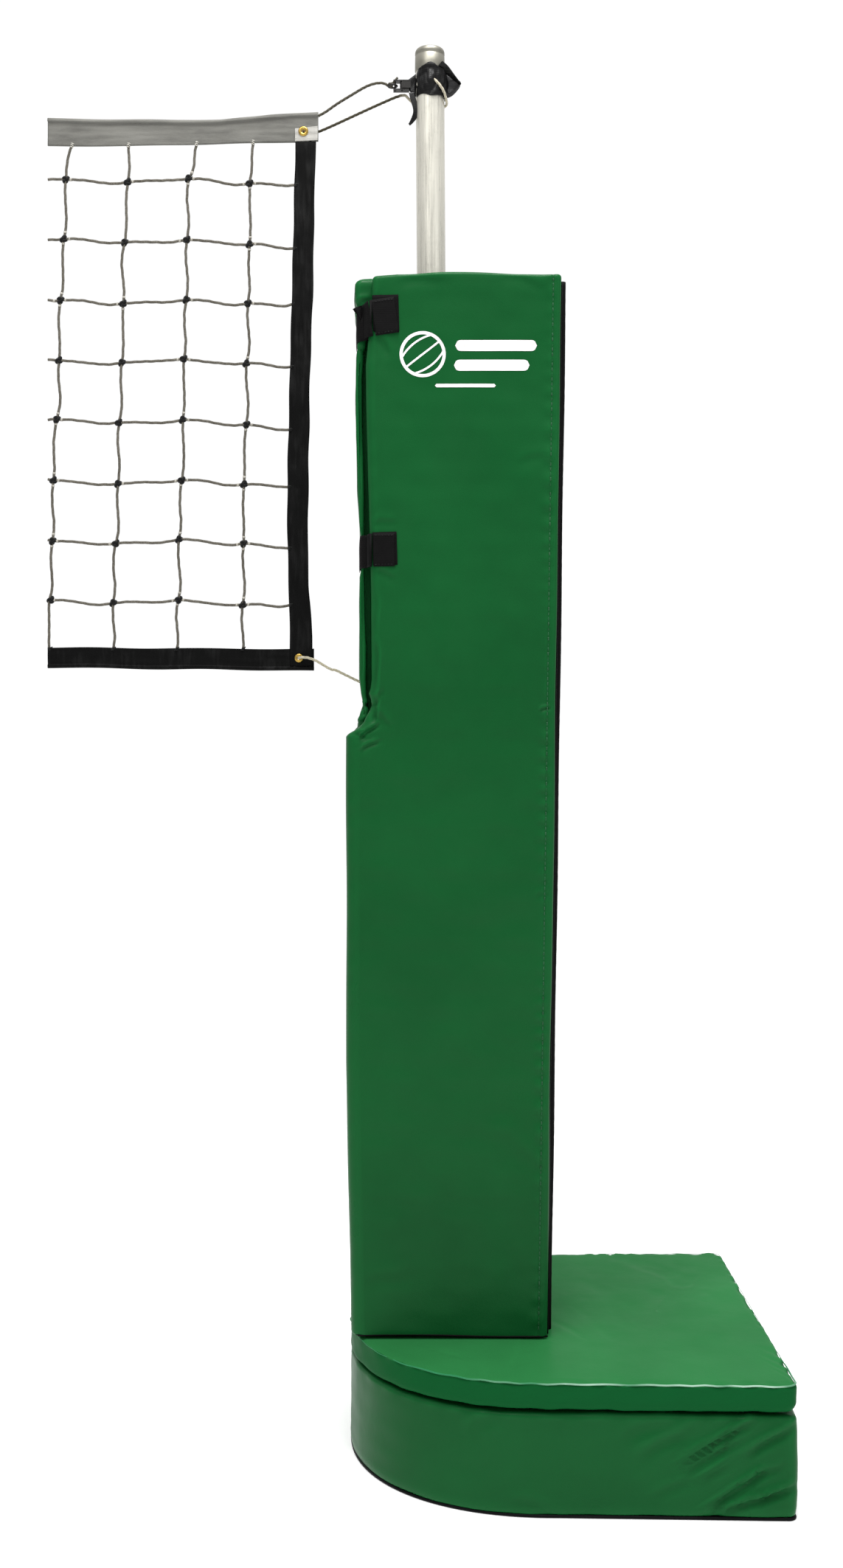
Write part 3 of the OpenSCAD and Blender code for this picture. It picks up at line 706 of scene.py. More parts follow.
# The lower left panel, with the slot for the net's cord near its top
halves = []
for y0, y1 in ((-87, -SLOT), (SLOT, 90)):
    halves.append(slab(1122, 1264, lower_left, lambda z: -99.0, y0, y1, (10, 6, 6, 10),
                       (8, 10, 8, 16), 6, 9))
low = slab(FOOT, 1132, lower_left, lambda z: -99.0, -87, 90, (12, 6, 6, 12), (8, 26, 8, 34), 8, 8)
parts = [loft(pushed(r, uneven(r, 41, 1.2, 240, 0.5, 70))) for r in [low] + halves]
lower = piece("left_pad_lower", merge(*parts), "root", "pad_vinyl", ["left_panel_lower"])


# The upper left panel: two boards either side of the slot and a rolled front edge
def roll_outline(z):
    """Left and right extent of the roll at height z."""
    left = np.interp(z, [1246, 1262, 1280, 1290, 1302, 1316, 1332, 1360, 1500, 1540, 1552, 1604, 1622, 1700,
                         1850, 1915, 1942, 1996, 2012, 2028, 2050],
                     [-130, -130, -129, -126.5, -124, -118.5, -122.5, -126.3, -127, -126, -123, -123, -126,
                      -130, -133.5, -132, -128.5, -128.5, -132, -135, -134])
    right = np.interp(z, [1246, 1290, 1330, 1500, 1700, 1880, 1930, 1985, 2005, 2050],
                      [-106, -109, -114.5, -116.5, -119, -121, -118, -110, -102, -101])
    return float(left), float(right)


ROLL_COUNTS = (8, 7, 6, 7)


def roll_ring(z, inset=0.0):
    l, r = roll_outline(z)
    top = clamp((z - 1990) / 20)
    pts = section(l + inset, r - inset * (1 - top * 0.8), -114 - 5 * top + inset, -84,
                  (11, 9 - 6 * top, 5, 8), ROLL_COUNTS)
    return np.column_stack([pts, np.full(len(pts), z)])


zs = np.concatenate([np.arange(1246, 1345, 2.6), np.arange(1345, 1920, 6.5), np.arange(1920, 2039, 3.2)])
rings = [roll_ring(z) for z in zs]
for k in range(1, 9):
    a = radians(90 * k / 8.5)
    ring = roll_ring(2041, 15 * (1 - cos(a)))
    ring[:, 2] = 2041 + 15 * sin(a)
    rings.append(ring)
rings = np.array(rings)
lift = uneven(rings, 51, 0.7, 120, 0.4, 38)
lift += creases(rings[..., 0], rings[..., 2], [
    ((-132, 1300), (-108, 1318), 4, 2.6), ((-132, 1272), (-108, 1292), 4, 2.6),
    ((-128, 1312), (-112, 1296), 3, 2.0), ((-130, 2004), (-104, 2018), 5, 2.0),
    ((-132, 1932), (-112, 1924), 5, 1.6), ((-124, 1880), (-126, 1640), 4, 1.6),
    ((-121, 1540), (-123, 1340), 4, 1.6)])
parts = [loft(pushed(rings, lift))]
for y0, y1 in ((-82, -SLOT), (SLOT, 90)):
    r = slab(1250, 2046, lambda z: roll_outline(z)[0] - 1.0, lambda z: -104.0, y0, y1, (8, 5, 5, 8),
             (5, 12, 5, 16), 6, 7)
    r[..., 0] -= (r[..., 1] + 82) * 0.03
    parts.append(loft(pushed(r, uneven(r, 53, 0.9, 200, 0.4, 60))))
roll = piece("left_pad_upper", merge(*parts), "root", "pad_vinyl", ["left_panel_upper"])

# Black welt in the fold at the right of the front panel
path = np.column_stack([202.7 + LEAN * np.linspace(0, 1, 230), np.full(230, WELT_Y),
                        np.linspace(FOOT + 1, Z1 - 4, 230)])
path[:, 0] += 0.5 * np.sin(path[:, 2] / 70)
points, faces = tube(path, 7, 16, lump=0.02)
points[:, 1] = WELT_Y + (points[:, 1] - WELT_Y) * 0.84
piece("edge_welt", (points, faces), "root", "black_vinyl", ["fold_welt"], mat=WELT_AND_SHADE)

# The welt's flat leaf on the right side face, and the black lining behind the front panel
grid = np.array([[(right_edge(z), y, z) for y in np.linspace(-88.5, -46, 12)]
                 for z in np.arange(Z0 + 6, Z1 - 14, 7.0)])
grid[..., 0] += side_relief(grid, 21) + 0.5
piece("hinge_leaf", strip(grid, (1.4, 0, 0), 0.9), "root", "black_vinyl", ["fold_leaf"])
grid = []
for z in np.arange(Z0 + 8, Z1 - 10, 12.0):
    row = [(x, DOOR_BACK, z) for x in np.linspace(-88, right_edge(z) - 19, 24)]
    row += [(right_edge(z) - 19 + 20 * t, DOOR_BACK + 1.4 * t, z) for t in (0.25, 0.5, 0.75, 1)]
    grid.append(row)
grid = np.array(grid)
grid[..., 1] += door_swell(grid, -108.0) + 0.35
piece("door_lining", flipped(strip(grid, (0, 0.8, 0))), "door", "black_vinyl", ["front_backing"])

# Black strip on the front panel's right side: painted shade where that side turns from the light
grid = np.array([[(hem_edge(z) + 0.6, y, z) for y in np.linspace(-131, -114, 8)]
                 for z in np.arange(Z0 + 3, Z1 - 12, 6.0)])
grid[..., 0] += 1.1 * waves(grid, 300, 11)
piece("side_shade_strip", strip(grid, (1.9, 0, 0), 0.8), "door", "black_vinyl", mat=WELT_AND_SHADE)

# A dark tube along the front panel's foot: painted shadow in the gap over the base
path = smooth_path([(-132, -131, 0), (-126, -138.5, 0), (-112, -140.6, 0), (40, DOOR_FRONT, 0),
                    (185, -140.6, 0), (196, -136, 0)], 4)
path[:, 2] = Z0 + 1.7 + door_foot(path[:, 0])
piece("foot_shade_line", tube(path, 1.5, 8), "door", "black_vinyl", mat=WELT_AND_SHADE)

# Stitches along the right edge of the front panel
STITCH = 5.5
parts = []
z = Z0 + 14
while z < Z1 - 16:
    x = hem_edge(z) - 15
    y = front_y(x, z) - 0.25
    pts = [(x, y + 0.5, z), (x, y, z + 1.2), (x, y, z + STITCH - 1.2), (x, y + 0.5, z + STITCH)]
    parts.append(tube(pts, 0.8, 6))
    z += 8.6
piece("pad_stitches", merge(*parts), "door", "pad_vinyl", mat=THREAD)


# Printed mark: a plain ball and three plain bars
def decal(outer, inner):
    """A patch just proud of the front panel, between two lines of (x, z) points."""
    points = [(x, front_y(x, z) - 0.45, z) for row in (outer, inner) for x, z in row]
    m = len(outer)
    return np.array(points), [[i, i + 1, m + i + 1, m + i] for i in range(m - 1)]


def bar(x0, x1, z, h):
    xs = np.linspace(x0, x1, 40)
    past = (abs(xs - (x0 + x1) / 2) - (x1 - x0) / 2 + h / 2) / (h / 2)
    k = np.sqrt(np.clip(1 - np.clip(past, 0, 1) ** 2, 0, 1))
    return decal(np.column_stack([xs, z - k * h / 2]), np.column_stack([xs, z + k * h / 2]))


def stripe(points, width):
    p = np.array(points, float)
    t = np.gradient(p, axis=0)
    t /= np.linalg.norm(t, axis=1, keepdims=True)
    side = np.column_stack([-t[:, 1], t[:, 0]])
    return decal(p - side * width / 2, p + side * width / 2)


ball = (-16.0, 1916.0)
R = 37.0
a = np.linspace(0, 2 * pi, 73)
parts = [stripe(np.column_stack([ball[0] + R * np.cos(a), ball[1] + R * np.sin(a)]), 5.5)]
tilt = radians(38)
for across in (-17.0, 0.0, 17.0):
    t = np.linspace(-1, 1, 30)
    along = t * sqrt(R * R - across * across)
    off = across + np.sign(across) * 7 * (1 - t * t)
    parts.append(stripe(np.column_stack([ball[0] + along * cos(tilt) - off * sin(tilt),
                                         ball[1] + along * sin(tilt) + off * cos(tilt)]), 3.4))
parts += [bar(40, 181, 1931, 19), bar(38, 168, 1897, 19), bar(5, 110, 1862, 6)]
piece("printed_mark", merge(*parts), "door", "pad_vinyl", mat=PRINT)


# ---------------------------------------------------------------- hook and loop straps
def strap_pieces(which, z_mid, h, x_end, slope, patch_rise, side_x):
    """The patch and tongue on the door, the band that wraps the roll, and its stitches."""
    def at(x):
        return z_mid + slope * (x + 120)

    xs = np.linspace(-102.0, x_end + 4, 16)
    high = at(x_end) + patch_rise
    path = np.column_stack([xs, [front_y(x, high) - 1.0 for x in xs], high + 0.03 * (xs - x_end)])
    piece(f"strap_{which}_patch", ribbon(path, (-0.03, 0, 1), h / 2, 0.9, 0.25, 3), "door", "hook_loop",
          [f"strap_{which}_base"])
    xs = np.linspace(-101.2, x_end, 16)
    path = np.column_stack([xs, [front_y(x, at(x)) - 2.6 for x in xs], [at(x) for x in xs]])
    piece(f"strap_{which}_tongue", ribbon(path, (-slope, 0, 1), h / 2, 0.9, 0.3, 4), "door", "hook_loop",
          mat=STRAP_WEB)
    turn = []
    left = side_x - 1.2
    for x in np.linspace(-105.6, left + 13, 9):
        t = (x + 105.6) / (left + 13 + 105.6)
        turn.append((x, -143.6 + 20 * t * t, at(x)))
    for k in range(1, 9):
        a = radians(90 * k / 8)
        turn.append((left + 13 - 13 * sin(a), -123.6 + 22 * (1 - cos(a)), at(left)))
    for y in np.linspace(-96, -47, 16):
        turn.append((left - (y + 101.6) * 0.045, y, at(left)))
    turn = smooth_path(turn, 2.5)
    fold = tube([(-105.5, -142.5, at(-105.5) - h / 2), (-105.5, -142.5, at(-105.5) + h / 2)], 2.3, 12)
    piece(f"strap_{which}_band", merge(ribbon(turn, (0, 0, 1), h / 2, 0.9, 0.3, 5), fold),
          f"strap_{which}", "hook_loop", [f"strap_{which}_tab"], mat=STRAP_WEB)
    parts = []
    for edge in (-h / 2 + 3.5, h / 2 - 3.5):
        for x in np.arange(-98.5, x_end - 5, 5.5):
            y, z = front_y(x, at(x)) - 4.0, at(x) + edge
            line = [(x, y + 0.5, z), (x + 1, y, z), (x + 2.6, y, z), (x + 3.6, y + 0.5, z)]
            parts.append(tube(line, 0.4, 6))
    piece(f"strap_{which}_stitches", merge(*parts), "door", "hook_loop", mat=MATS["webbing"])


strap_pieces("upper", 1975, 62, -61, 0.15, 3.5, -129.6)
strap_pieces("lower", 1578, 57, -64, 0.02, 2.5, -124.0)

# Loop patches that the bands hold on to, on the left panel
parts = []
for z_mid, h, x in ((1973, 62, -130.0), (1578, 55, -124.3)):
    y = np.linspace(-85, -45, 14)
    path = np.column_stack([x - 0.4 - 0.03 * (y + 82), y, np.full(14, z_mid)])
    parts.append(ribbon(path, (0, 0, 1), h / 2, 0.7, 0.2, 6))
piece("loop_pads", merge(*parts), "root", "hook_loop", ["loop_patches"])


# ---------------------------------------------------------------- base pads
def quarter(cx, cy, r, start):
    """The seven inner points of a rounded corner that begins at an angle in degrees."""
    turns = [radians(start + 90 * k / 8) for k in range(1, 8)]
    return [(cx + r * cos(q), cy + r * sin(q)) for q in turns]


def base_outline(inset, far=0.0):
    """The base outline, anticlockwise from above, smaller by inset; far lengthens its square end."""
    pts = []
    cx, a, b = 204.0, 349.0 - inset - max(0.0, -inset) * 1.2, 331.5 - inset
    end = 579.0 + far - inset
    wide = 342.0 - inset
    r = max(15 - inset, 2.0)
    p = 2 / 2.2
    for t in np.linspace(90, -90, 141):
        c, s = cos(radians(t)), sin(radians(t))
        pts.append((cx - a * max(c, 0) ** p, b * copysign(abs(s) ** p, s)))
    for t in dense_ends(52, 0.5)[1:]:
        pts.append((cx + (end - r - cx) * t, -(b + (wide - b) * t)))
    pts += quarter(end - r, -wide + r, r, -90)
    for t in dense_ends(80, 0.6):
        pts.append((end, (-wide + r) + 2 * (wide - r) * t))
    pts += quarter(end - r, wide - r, r, 0)
    for t in dense_ends(52, 0.5)[::-1][:-1]:
        pts.append((cx + (end - r - cx) * t, b + (wide - b) * t))
    return np.array(pts)


OUT0 = base_outline(0)


def base_rings(profile, far=0.0):
    return np.array([np.column_stack([base_outline(i, far), np.full(len(OUT0), z)]) for i, z in profile])


def along_base():
    """Running length round the outline."""
    d = np.linalg.norm(np.diff(np.vstack([OUT0, OUT0[:1]]), axis=0), axis=1)
    return np.concatenate([[0], np.cumsum(d)[:-1]])


S = along_base()
BASE_TOP = 219.3
profile = [(39, 8), (39, 160), (34, 166), (16, 168.5), (11, 168)]
for k in range(6):
    a = radians(90 - 18 * k)
    profile.append((8 - 8 * cos(a), 160 + 8 * sin(a)))
profile += [(-0.8 * sin(pi * (158 - z) / 150), z) for z in np.arange(155, 12, -6.5)]
profile += [(1, 8), (3, 5.5), (9, 5.2), (30, 5.2)]
rings = base_rings(profile, 6.0)
x, y, z = rings[..., 0], rings[..., 1], rings[..., 2]
outer = np.array([1.0 if i < 12 else 0.0 for i, _ in profile])[:, None]
lift = outer * (1.2 * waves(rings, 240, 61) + 0.4 * waves(rings * [1, 1, 2], 60, 62))
front = (y < -250).astype(float)
lift += 1.15 * outer * front * creases(x, z, [
    ((395, 86), (512, 162), 4.6, 6.4), ((402, 74), (494, 134), 4.4, 6.0),
    ((436, 10), (534, 84), 4.8, 6.6), ((450, 6), (578, 54), 4.6, 6.8),
    ((520, 28), (580, 62), 4, 5.0), ((330, 92), (420, 150), 9, 3.6),
    ((500, 100), (578, 154), 5.5, 5.0), ((428, 58), (474, 94), 4.2, 4.2),
    ((350, 30), (420, 70), 6, 2.4), ((505, 64), (560, 90), 4.4, 3.4),
    ((300, 120), (380, 160), 10, 1.6), ((120, 20), (200, 12), 9, 1.6),
    ((60, 120), (100, 162), 10, 1.8)])
back = (y > 250).astype(float)
lift += outer * back * creases(x, z, [((430, 30), (560, 110), 11, 3.5), ((260, 60), (400, 140), 14, 3.0)])
rim = np.exp(-((z - 163) / 6) ** 2) * outer
lift += rim * 0.8 * np.sin(S / 8.5 + 2 * np.sin(S / 70))[None, :]
side = piece("base_pad_side", flipped(loft(pushed(rings, -lift), caps=False)), "root", "pad_vinyl",
             ["base_side_pad"])

# Top pad: pinched at its lower seam, full in the middle, with a gathered upper edge
profile = [(60, 172.6), (30, 172.6), (14, 172.8), (5, 173.8), (1, 175.4), (-2.0, 178.2), (-4.3, 182.5)]
profile += [(-5.6 - 0.5 * sin(pi * (z - 184) / 22), z) for z in np.arange(187, 211, 3.5)]
for k in range(9):
    a = radians(11.25 * k)
    profile.append((-5.5 + 8 * (1 - cos(a)), 211 + 8 * sin(a)))
rings = list(base_rings(profile))
edge = rings[-1][:, :2]
target = np.column_stack([np.clip(edge[:, 0], 60, 400), np.zeros(len(edge))])
for t in [0.02, 0.045, 0.075, *np.linspace(0.11, 0.97, 30)]:
    rings.append(np.column_stack([edge + (target - edge) * t, np.full(len(edge), BASE_TOP)]))
rings = np.array(rings)
x, y, z = rings[..., 0], rings[..., 1], rings[..., 2]
top = (z > BASE_TOP - 0.1).astype(float)
lift = (1 - top) * (1.0 * waves(rings, 200, 71) + 0.6 * waves(rings * [1, 1, 2.5], 42, 72))
rim = np.exp(-((z - 217.5) / 5) ** 2) * (1 - top)
gather = np.sin(S / 6.2 + 3 * np.sin(S / 47)) * (0.55 + 0.45 * np.sin(S / 31 + 1))
lift += rim * 1.9 * gather[None, :]
lift_top = 1.3 * waves(rings, 190, 73) - 0.6
near_edge = np.array([0] * len(profile) + [1.0, 0.8, 0.5] + [0.3, 0.12] + [0.0] * 28)[:, None]
lift_top += near_edge * 1.6 * gather[None, :]
lift_top += creases(x, y, [
    ((240, 176), (331, -109), 24, 2.6), ((331, 256), (529, 27), 26, 2.6),
    ((214, 60), (300, -170), 14, 2.2), ((204, -60), (262, -150), 7, 2.4),
    ((300, 300), (470, 180), 20, 2.0), ((-60, -190), (60, -240), 12, 1.6),
    ((120, -150), (110, -280), 12, 1.4), ((420, -210), (560, -120), 20, 1.8),
    ((430, 10), (560, 220), 22, 1.8)])
lift += top * np.clip(lift_top - 0.4, -4.0, 0.7)
rings = pushed(rings, -lift)
rings[..., 2] = np.minimum(rings[..., 2], BASE_TOP + 0.6)
points, faces = loft(rings, caps=False)
m, at = len(OUT0), len(points) - len(OUT0)
faces = [f[::-1] for f in faces]
half = [*range(70, -1, -1), *range(m - 1, m - 1 - 51 - 7 - 41, -1)]
for i, j in zip(half[:-1], half[1:]):
    quad = [at + i, at + j, at + (140 - j) % m, at + (140 - i) % m]
    if len(set(quad)) > 2:
        faces.append(list(dict.fromkeys(quad)))
lid = piece("base_pad_top", (points, faces), "root", "pad_vinyl", ["base_top_pad"], mat=LIT_TOP_VINYL)

# Welded edge round the top pad, in a paler green: a painted highlight along its rim
ring = base_outline(-4.2)
ring[:, 0] = np.minimum(ring[:, 0], 586)
proud = np.clip((-ring[:, 1] - 200) / 80, 0, 1)
path = np.column_stack([ring, 216.7 + 1.2 * proud + 0.6 * np.sin(S / 8.3 + 2 * np.sin(S / 53))])
path[:, :2] += (0.5 * np.sin(S / 11 + 1))[:, None] * np.array([0, 1])
path, proud = np.vstack([path, path[:1]]), np.append(proud, proud[0])
piece("top_pad_edge", tube(path, 0.5 + proud, 8, caps=False), "root", "pad_vinyl", mat=PIPING_SHEEN)

# Black hem on the floor
rings = base_rings([(36, 0.3), (1.8, 0.3), (0.6, 1.2), (0.2, 3), (0.9, 5), (3, 5.6), (36, 5.6)], 6.0)
rings[1:-1, :, 2] += (0.3 * np.sin(S / 23))[None, :] * np.array([0, 0, 0, 1, 1])[:, None]
piece("floor_hem", flipped(loft(rings, caps=False)), "root", "black_vinyl", ["base_hem"])

# ---------------------------------------------------------------- mast
POLE, BORE = 25.4, 22.4
POLE_FOOT, POLE_TOP = 700, 2459
profile = [(BORE, POLE_FOOT), (POLE - 0.2, POLE_FOOT), (POLE, POLE_FOOT + 1)]
profile += [(POLE, z) for z in np.arange(720, 2440, 20)]
profile += [(POLE, POLE_TOP - 1), (BORE, POLE_TOP), (BORE, POLE_FOOT)]
rings = lathe([(r + (0.5 if r > 25 else 0), h) for r, h in profile], (0, 0, 0), sides=64)
points, faces = loft(rings, caps=False)
points[:, 0] -= np.clip(points[:, 2] - 2060, 0, 500) * 0.006
piece("mast_pole", (points, faces), "mast", "mast_metal", ["mast_tube"])
profile = [(22.3, 2422), (22.3, 2459.6), (26.8, 2459.8), (27, 2461), (26.9, 2470), (26.6, 2485.5),
           (25.7, 2486.6), (25.7, 2488), (26.7, 2489.2)]
for k in range(1, 9):
    a = radians(90 * k / 8)
    profile.append((20.4 + 6.3 * cos(a), 2491.5 + 8.4 * sin(a)))
profile += [(12, 2500), (5, 2500), (0.6, 2500)]
points, faces = loft(lathe(profile, (0, 0, 0), sides=64), caps=True)
points[:, 0] -= 2.6
piece("pole_cap", (points, faces), "mast", "mast_metal", ["mast_cap"], mat=CAP_METAL)

# Strap round the mast: a crumpled wrap, a lead to the buckle, a loop and a tail
ang = np.linspace(0, 2 * pi, 150, endpoint=False)
rings = []
levels = np.linspace(0, 1, 30)
low_z = 2409.5 + 1.6 * np.sin(ang * 2 + 0.6) + 1.2 * np.sin(ang * 5)
frontness = np.clip(-np.sin(ang - 0.1), 0, 1)
high_z = 2455 + 9 * frontness ** 2 + 2.6 * np.sin(ang * 3 + 1) + 1.5 * np.sin(ang * 7)
for s in levels:
    z = low_z + (high_z - low_z) * s
    here = np.column_stack([27 * np.cos(ang), 27 * np.sin(ang), z])
    folds = 2.3 * np.abs(waves(here * [1, 1, 0.7], 26, 121))
    folds += 1.2 * np.abs(waves(here * [1, 1, 0.6], 13, 122))
    r = np.interp(z, [2456, 2461], [26.4, 27.6]) + 0.9 + folds * (0.35 + 0.65 * sin(pi * s))
    rings.append(np.column_stack([r * np.cos(ang), r * np.sin(ang), z]))
for s in levels[::-1]:
    z = low_z + (high_z - low_z) * s
    r = np.interp(z, [2456, 2461], [25.6, 27.2])
    rings.append(np.column_stack([r * np.cos(ang), r * np.sin(ang), z]))
rings.append(rings[0])
wrap = loft(np.array(rings), caps=False)


def sheet_between(lower, upper, y_mid, thick, rows=9, wrinkle=0.8, seed=3):
    """A crumpled flat piece between two lines of (x, z) points."""
    lo, hi = np.array(lower, float), np.array(upper, float)
    ts = np.linspace(0, 1, 36)

    def along(line):
        q = np.linspace(0, 1, len(line))
        return np.column_stack([np.interp(ts, q, line[:, 0]), np.interp(ts, q, line[:, 1])])

    lo, hi = along(lo), along(hi)
    grid = []
    for s in np.linspace(0, 1, rows):
        xz = lo + (hi - lo) * s
        grid.append(np.column_stack([xz[:, 0], np.full(len(ts), y_mid), xz[:, 1]]))
    grid = np.array(grid)
    grid[..., 1] += wrinkle * waves(grid, 17, seed)
    frontside, backside = grid.copy(), grid.copy()
    frontside[..., 1] -= thick / 2
    backside[..., 1] += thick / 2
    rings = np.concatenate([frontside, backside[::-1]], axis=0)
    return loft(np.swapaxes(rings, 0, 1))


lead = sheet_between([(-24, 2411), (-33, 2417), (-39, 2424), (-44, 2427.5), (-52, 2427)],
                     [(-24, 2458), (-31, 2452), (-38, 2447), (-46, 2441), (-52, 2440.5)],
                     -2, 3.4, wrinkle=0.9)
piece("mast_strap", merge(wrap, lead), "mast", "webbing", ["top_strap"])

# The loop stands out at the right, flattened, with its open side to the front
out = smooth_path([(14, -25, 2462), (26, -12, 2460), (37, -4, 2452), (47, -1, 2442), (52, 0, 2437),
                   (48, 1, 2430), (38, 0, 2421), (27, -6, 2415), (20, -20, 2414)], 2.5)
hw = np.interp(np.linspace(0, 1, len(out)), [0, 0.25, 0.5, 0.75, 1], [9, 6, 3.5, 5, 4])
loop = ribbon(out, np.array([(0.25, -0.75, 0.6)] * len(out)), hw, 0.9, 0.5, 9)
# The loop's inside, in lighter grey: a painted sheen
inner_sheet = sheet_between([(27, 2417), (34, 2421), (42, 2429), (50, 2436)],
                            [(27, 2456), (33, 2453), (42, 2446), (50, 2438)], 1.5, 1.2, wrinkle=1.0, seed=8)
piece("strap_loop", loop, "mast", "webbing")
piece("strap_loop_inside", inner_sheet, "mast", "webbing", mat=INSIDE_SHEEN)

tail_path = smooth_path([(-36, -9, 2419), (-33, -10, 2408), (-29.5, -10.5, 2394), (-28.5, -10.5, 2383),
                         (-31, -10, 2373), (-37, -9.5, 2364), (-40, -9, 2361)], 2.0)
hw = np.interp(np.linspace(0, 1, len(tail_path)), [0, 0.3, 0.75, 1], [4.5, 5.2, 4.6, 2.2])
piece("strap_end", ribbon(tail_path, (1, 0.15, 0.25), hw, 0.9, 0.4, 10), "mast", "webbing", ["strap_tail"])


# ---------------------------------------------------------------- cords
CORD = 2.3                      # radius of the ties and of the ropes in the tapes


def cord_piece(name, route, mat, slot, node):
    """A taut tie of laid cord."""
    path = smooth_path(route, 1.1)
    ob = piece(name, tube(path, CORD * 1.08, 15, strands=3, pitch=9), "mast", slot, [node], mat=mat)
    coarse = path[:: max(1, len(path) // 400)]
    if not np.allclose(coarse[-1], path[-1]):
        coarse = np.vstack([coarse, path[-1:]])


TOP_ROUTE = [(-204, 0, 2380), (-190, 0, 2388), (-170, 0, 2402), (-144, 0, 2418), (-122, 0, 2431),
             (-108, 0, 2437), (-96, 0, 2439.5), (-86, 0, 2439), (-78, 0, 2435)]
TIE_ROUTE = [(-231, 1, 2351), (-230, 5, 2351), (-225, 8, 2351), (-214, 8, 2352), (-202, 7, 2355),
             (-180, 6, 2364), (-150, 4, 2377), (-118, 2, 2391), (-86, 1, 2405), (-62, 1, 2415),
             (-48, 2, 2418), (-39, 5, 2411)]
for d in range(150, -226, -15):
    t = clamp(-d / 120)
    rise = -2 + 46 * t * t * (3 - 2 * t)
    out = float(np.interp(d, [-225, -84, -70, -50, -22, 0, 150], [24.6, 25.0, 30.4, 31.2, 28.6, 27.9, 27.9]))
    TIE_ROUTE.append((out * cos(radians(d)), out * sin(radians(d)), 2404 + rise))
LOW_ROUTE = [(-239, -1, 1400), (-238, -5, 1400.5), (-233, -9, 1401), (-222, -10, 1400), (-209, -8, 1395.5),
             (-196, -6, 1388), (-185, -6, 1381.5), (-179, -5, 1379), (-172, -5, 1377.8), (-158, -3, 1371),
             (-132, -1, 1358.5), (-110, 0, 1350), (-85, -2, 1340),
             (-66, -6, 1332), (-52, -13, 1326), (-40, -22, 1322)]
for d in range(236, 552, 15):
    LOW_ROUTE.append((34.8 * cos(radians(d)), 34.8 * sin(radians(d)), 1320))

def knot_curve(centre, size, turn=0.0, squash=0.8):
    """Points of a small overhand knot."""
    t = np.linspace(0, 2 * pi, 64, endpoint=False)
    x = np.sin(t) + 2 * np.sin(2 * t)
    y = -np.sin(3 * t) * 1.1
    z = np.cos(t) - 2 * np.cos(2 * t)
    c, s = cos(turn), sin(turn)
    q = np.column_stack([x * c - z * s, y, x * s + z * c]) * size / 3.0
    q[:, 1] *= squash
    return q + np.array(centre, float)


def knot(centre, size, radius, turn=0.0, sides=8):
    p = knot_curve(centre, size, turn)
    p = np.vstack([p, p[:1]])
    return tube(p, radius, sides, caps=False)


end_knot = merge(knot((-73, -1, 2436), 3.6, 2.1, 0.3),
                 tube(smooth_path([(-70, -3, 2437), (-66, -4, 2442), (-61, -3, 2448)], 1), 2.0, 10))
headline_knot = piece("headline_knot", end_knot, "mast", "grey_cord")
corner_knot = piece("corner_knot", knot((-24, 24, 2457), 4.0, 2.2), "mast", "grey_cord", ["cord_knots"],
                    mat=TIE_CORD)
lower_knot = piece("lower_knot", knot((-39, -15, 1322), 4.0, 2.2, 0.6), "mast", "cream_cord",
                   ["cord_knots"])
cord_piece("headline", TOP_ROUTE, MATS["grey_cord"], "grey_cord", "top_cord")
cord_piece("corner_tie", TIE_ROUTE, TIE_CORD, "grey_cord", "tie_cord")
cord_piece("lower_tie", LOW_ROUTE, MATS["cream_cord"], "cream_cord", "lower_cord")


# ---------------------------------------------------------------- net
NET_END = -693.0                # X where the net is trimmed
TOP_HOLE, LOW_HOLE = (-231, 2351), (-239, 1400)
TWINE = 2.65
ROW_TOP, MESH = 2263, 108.7     # height of the first row of knots, and the step between rows
COLUMN_FOOT = 1417


def tape_rope(name, x_end, line, slot, node):
    path = smooth_path([(x, 0.0, line(x)) for x in np.arange(-692, x_end, 6.0)], 1.5)
    piece(name, tube(path, CORD, 12, strands=3, pitch=9), "mast", slot, [node])


def tape_top(x):
    return float(np.interp(x, [NET_END, -620, -550, -470, -380, -330, -290, -250, -206],
                           [2376.5, 2375, 2373.5, 2373, 2374, 2378, 2382, 2385, 2387]))


def tape_bottom(x):
    return float(np.interp(x, [NET_END, -550, -450, -340, -240, -204],
                           [2325.5, 2326, 2328, 2330.5, 2332.5, 2334.5]))


def low_tape(x):
    """Height of the bottom tape's lower edge."""
    return 1382.5 - 5.5 * (x - NET_END) / 480 + 0.6 * sin(x / 33 + 1)


def low_tape_free(x):
    """Height of the bottom tape's upper edge."""
    return low_tape(x) + 37 + (x - NET_END) / 200


def tape_bend(grid, amount, seed):
    """How a tape bends to and fro in Y, the same for both of its layers."""
    mid = grid * [1, 0, 1]
    return (amount * waves(mid * [0.5, 1, 1], 60, seed)
            + 0.5 * amount * waves(mid * [0.35, 1, 3.0], 34, seed + 1))


def tape_ring(x, z_free, z_fold, roll, half):
    """Closed YZ loop of a tape folded over a rope; z_fold is the folded edge."""
    up = 1 if z_fold > z_free else -1
    centre = z_fold - up * roll
    side = [z_free + (centre - up * roll * 0.4 - z_free) * t for t in np.linspace(0, 1, 16)]
    pts = [(x, -half, z) for z in side]
    for k in range(11):
        a = radians(-25 + 23 * k)
        pts.append((x, -roll * cos(a), centre + up * roll * sin(a)))
    return pts + [(x, half, z) for z in side[::-1]]


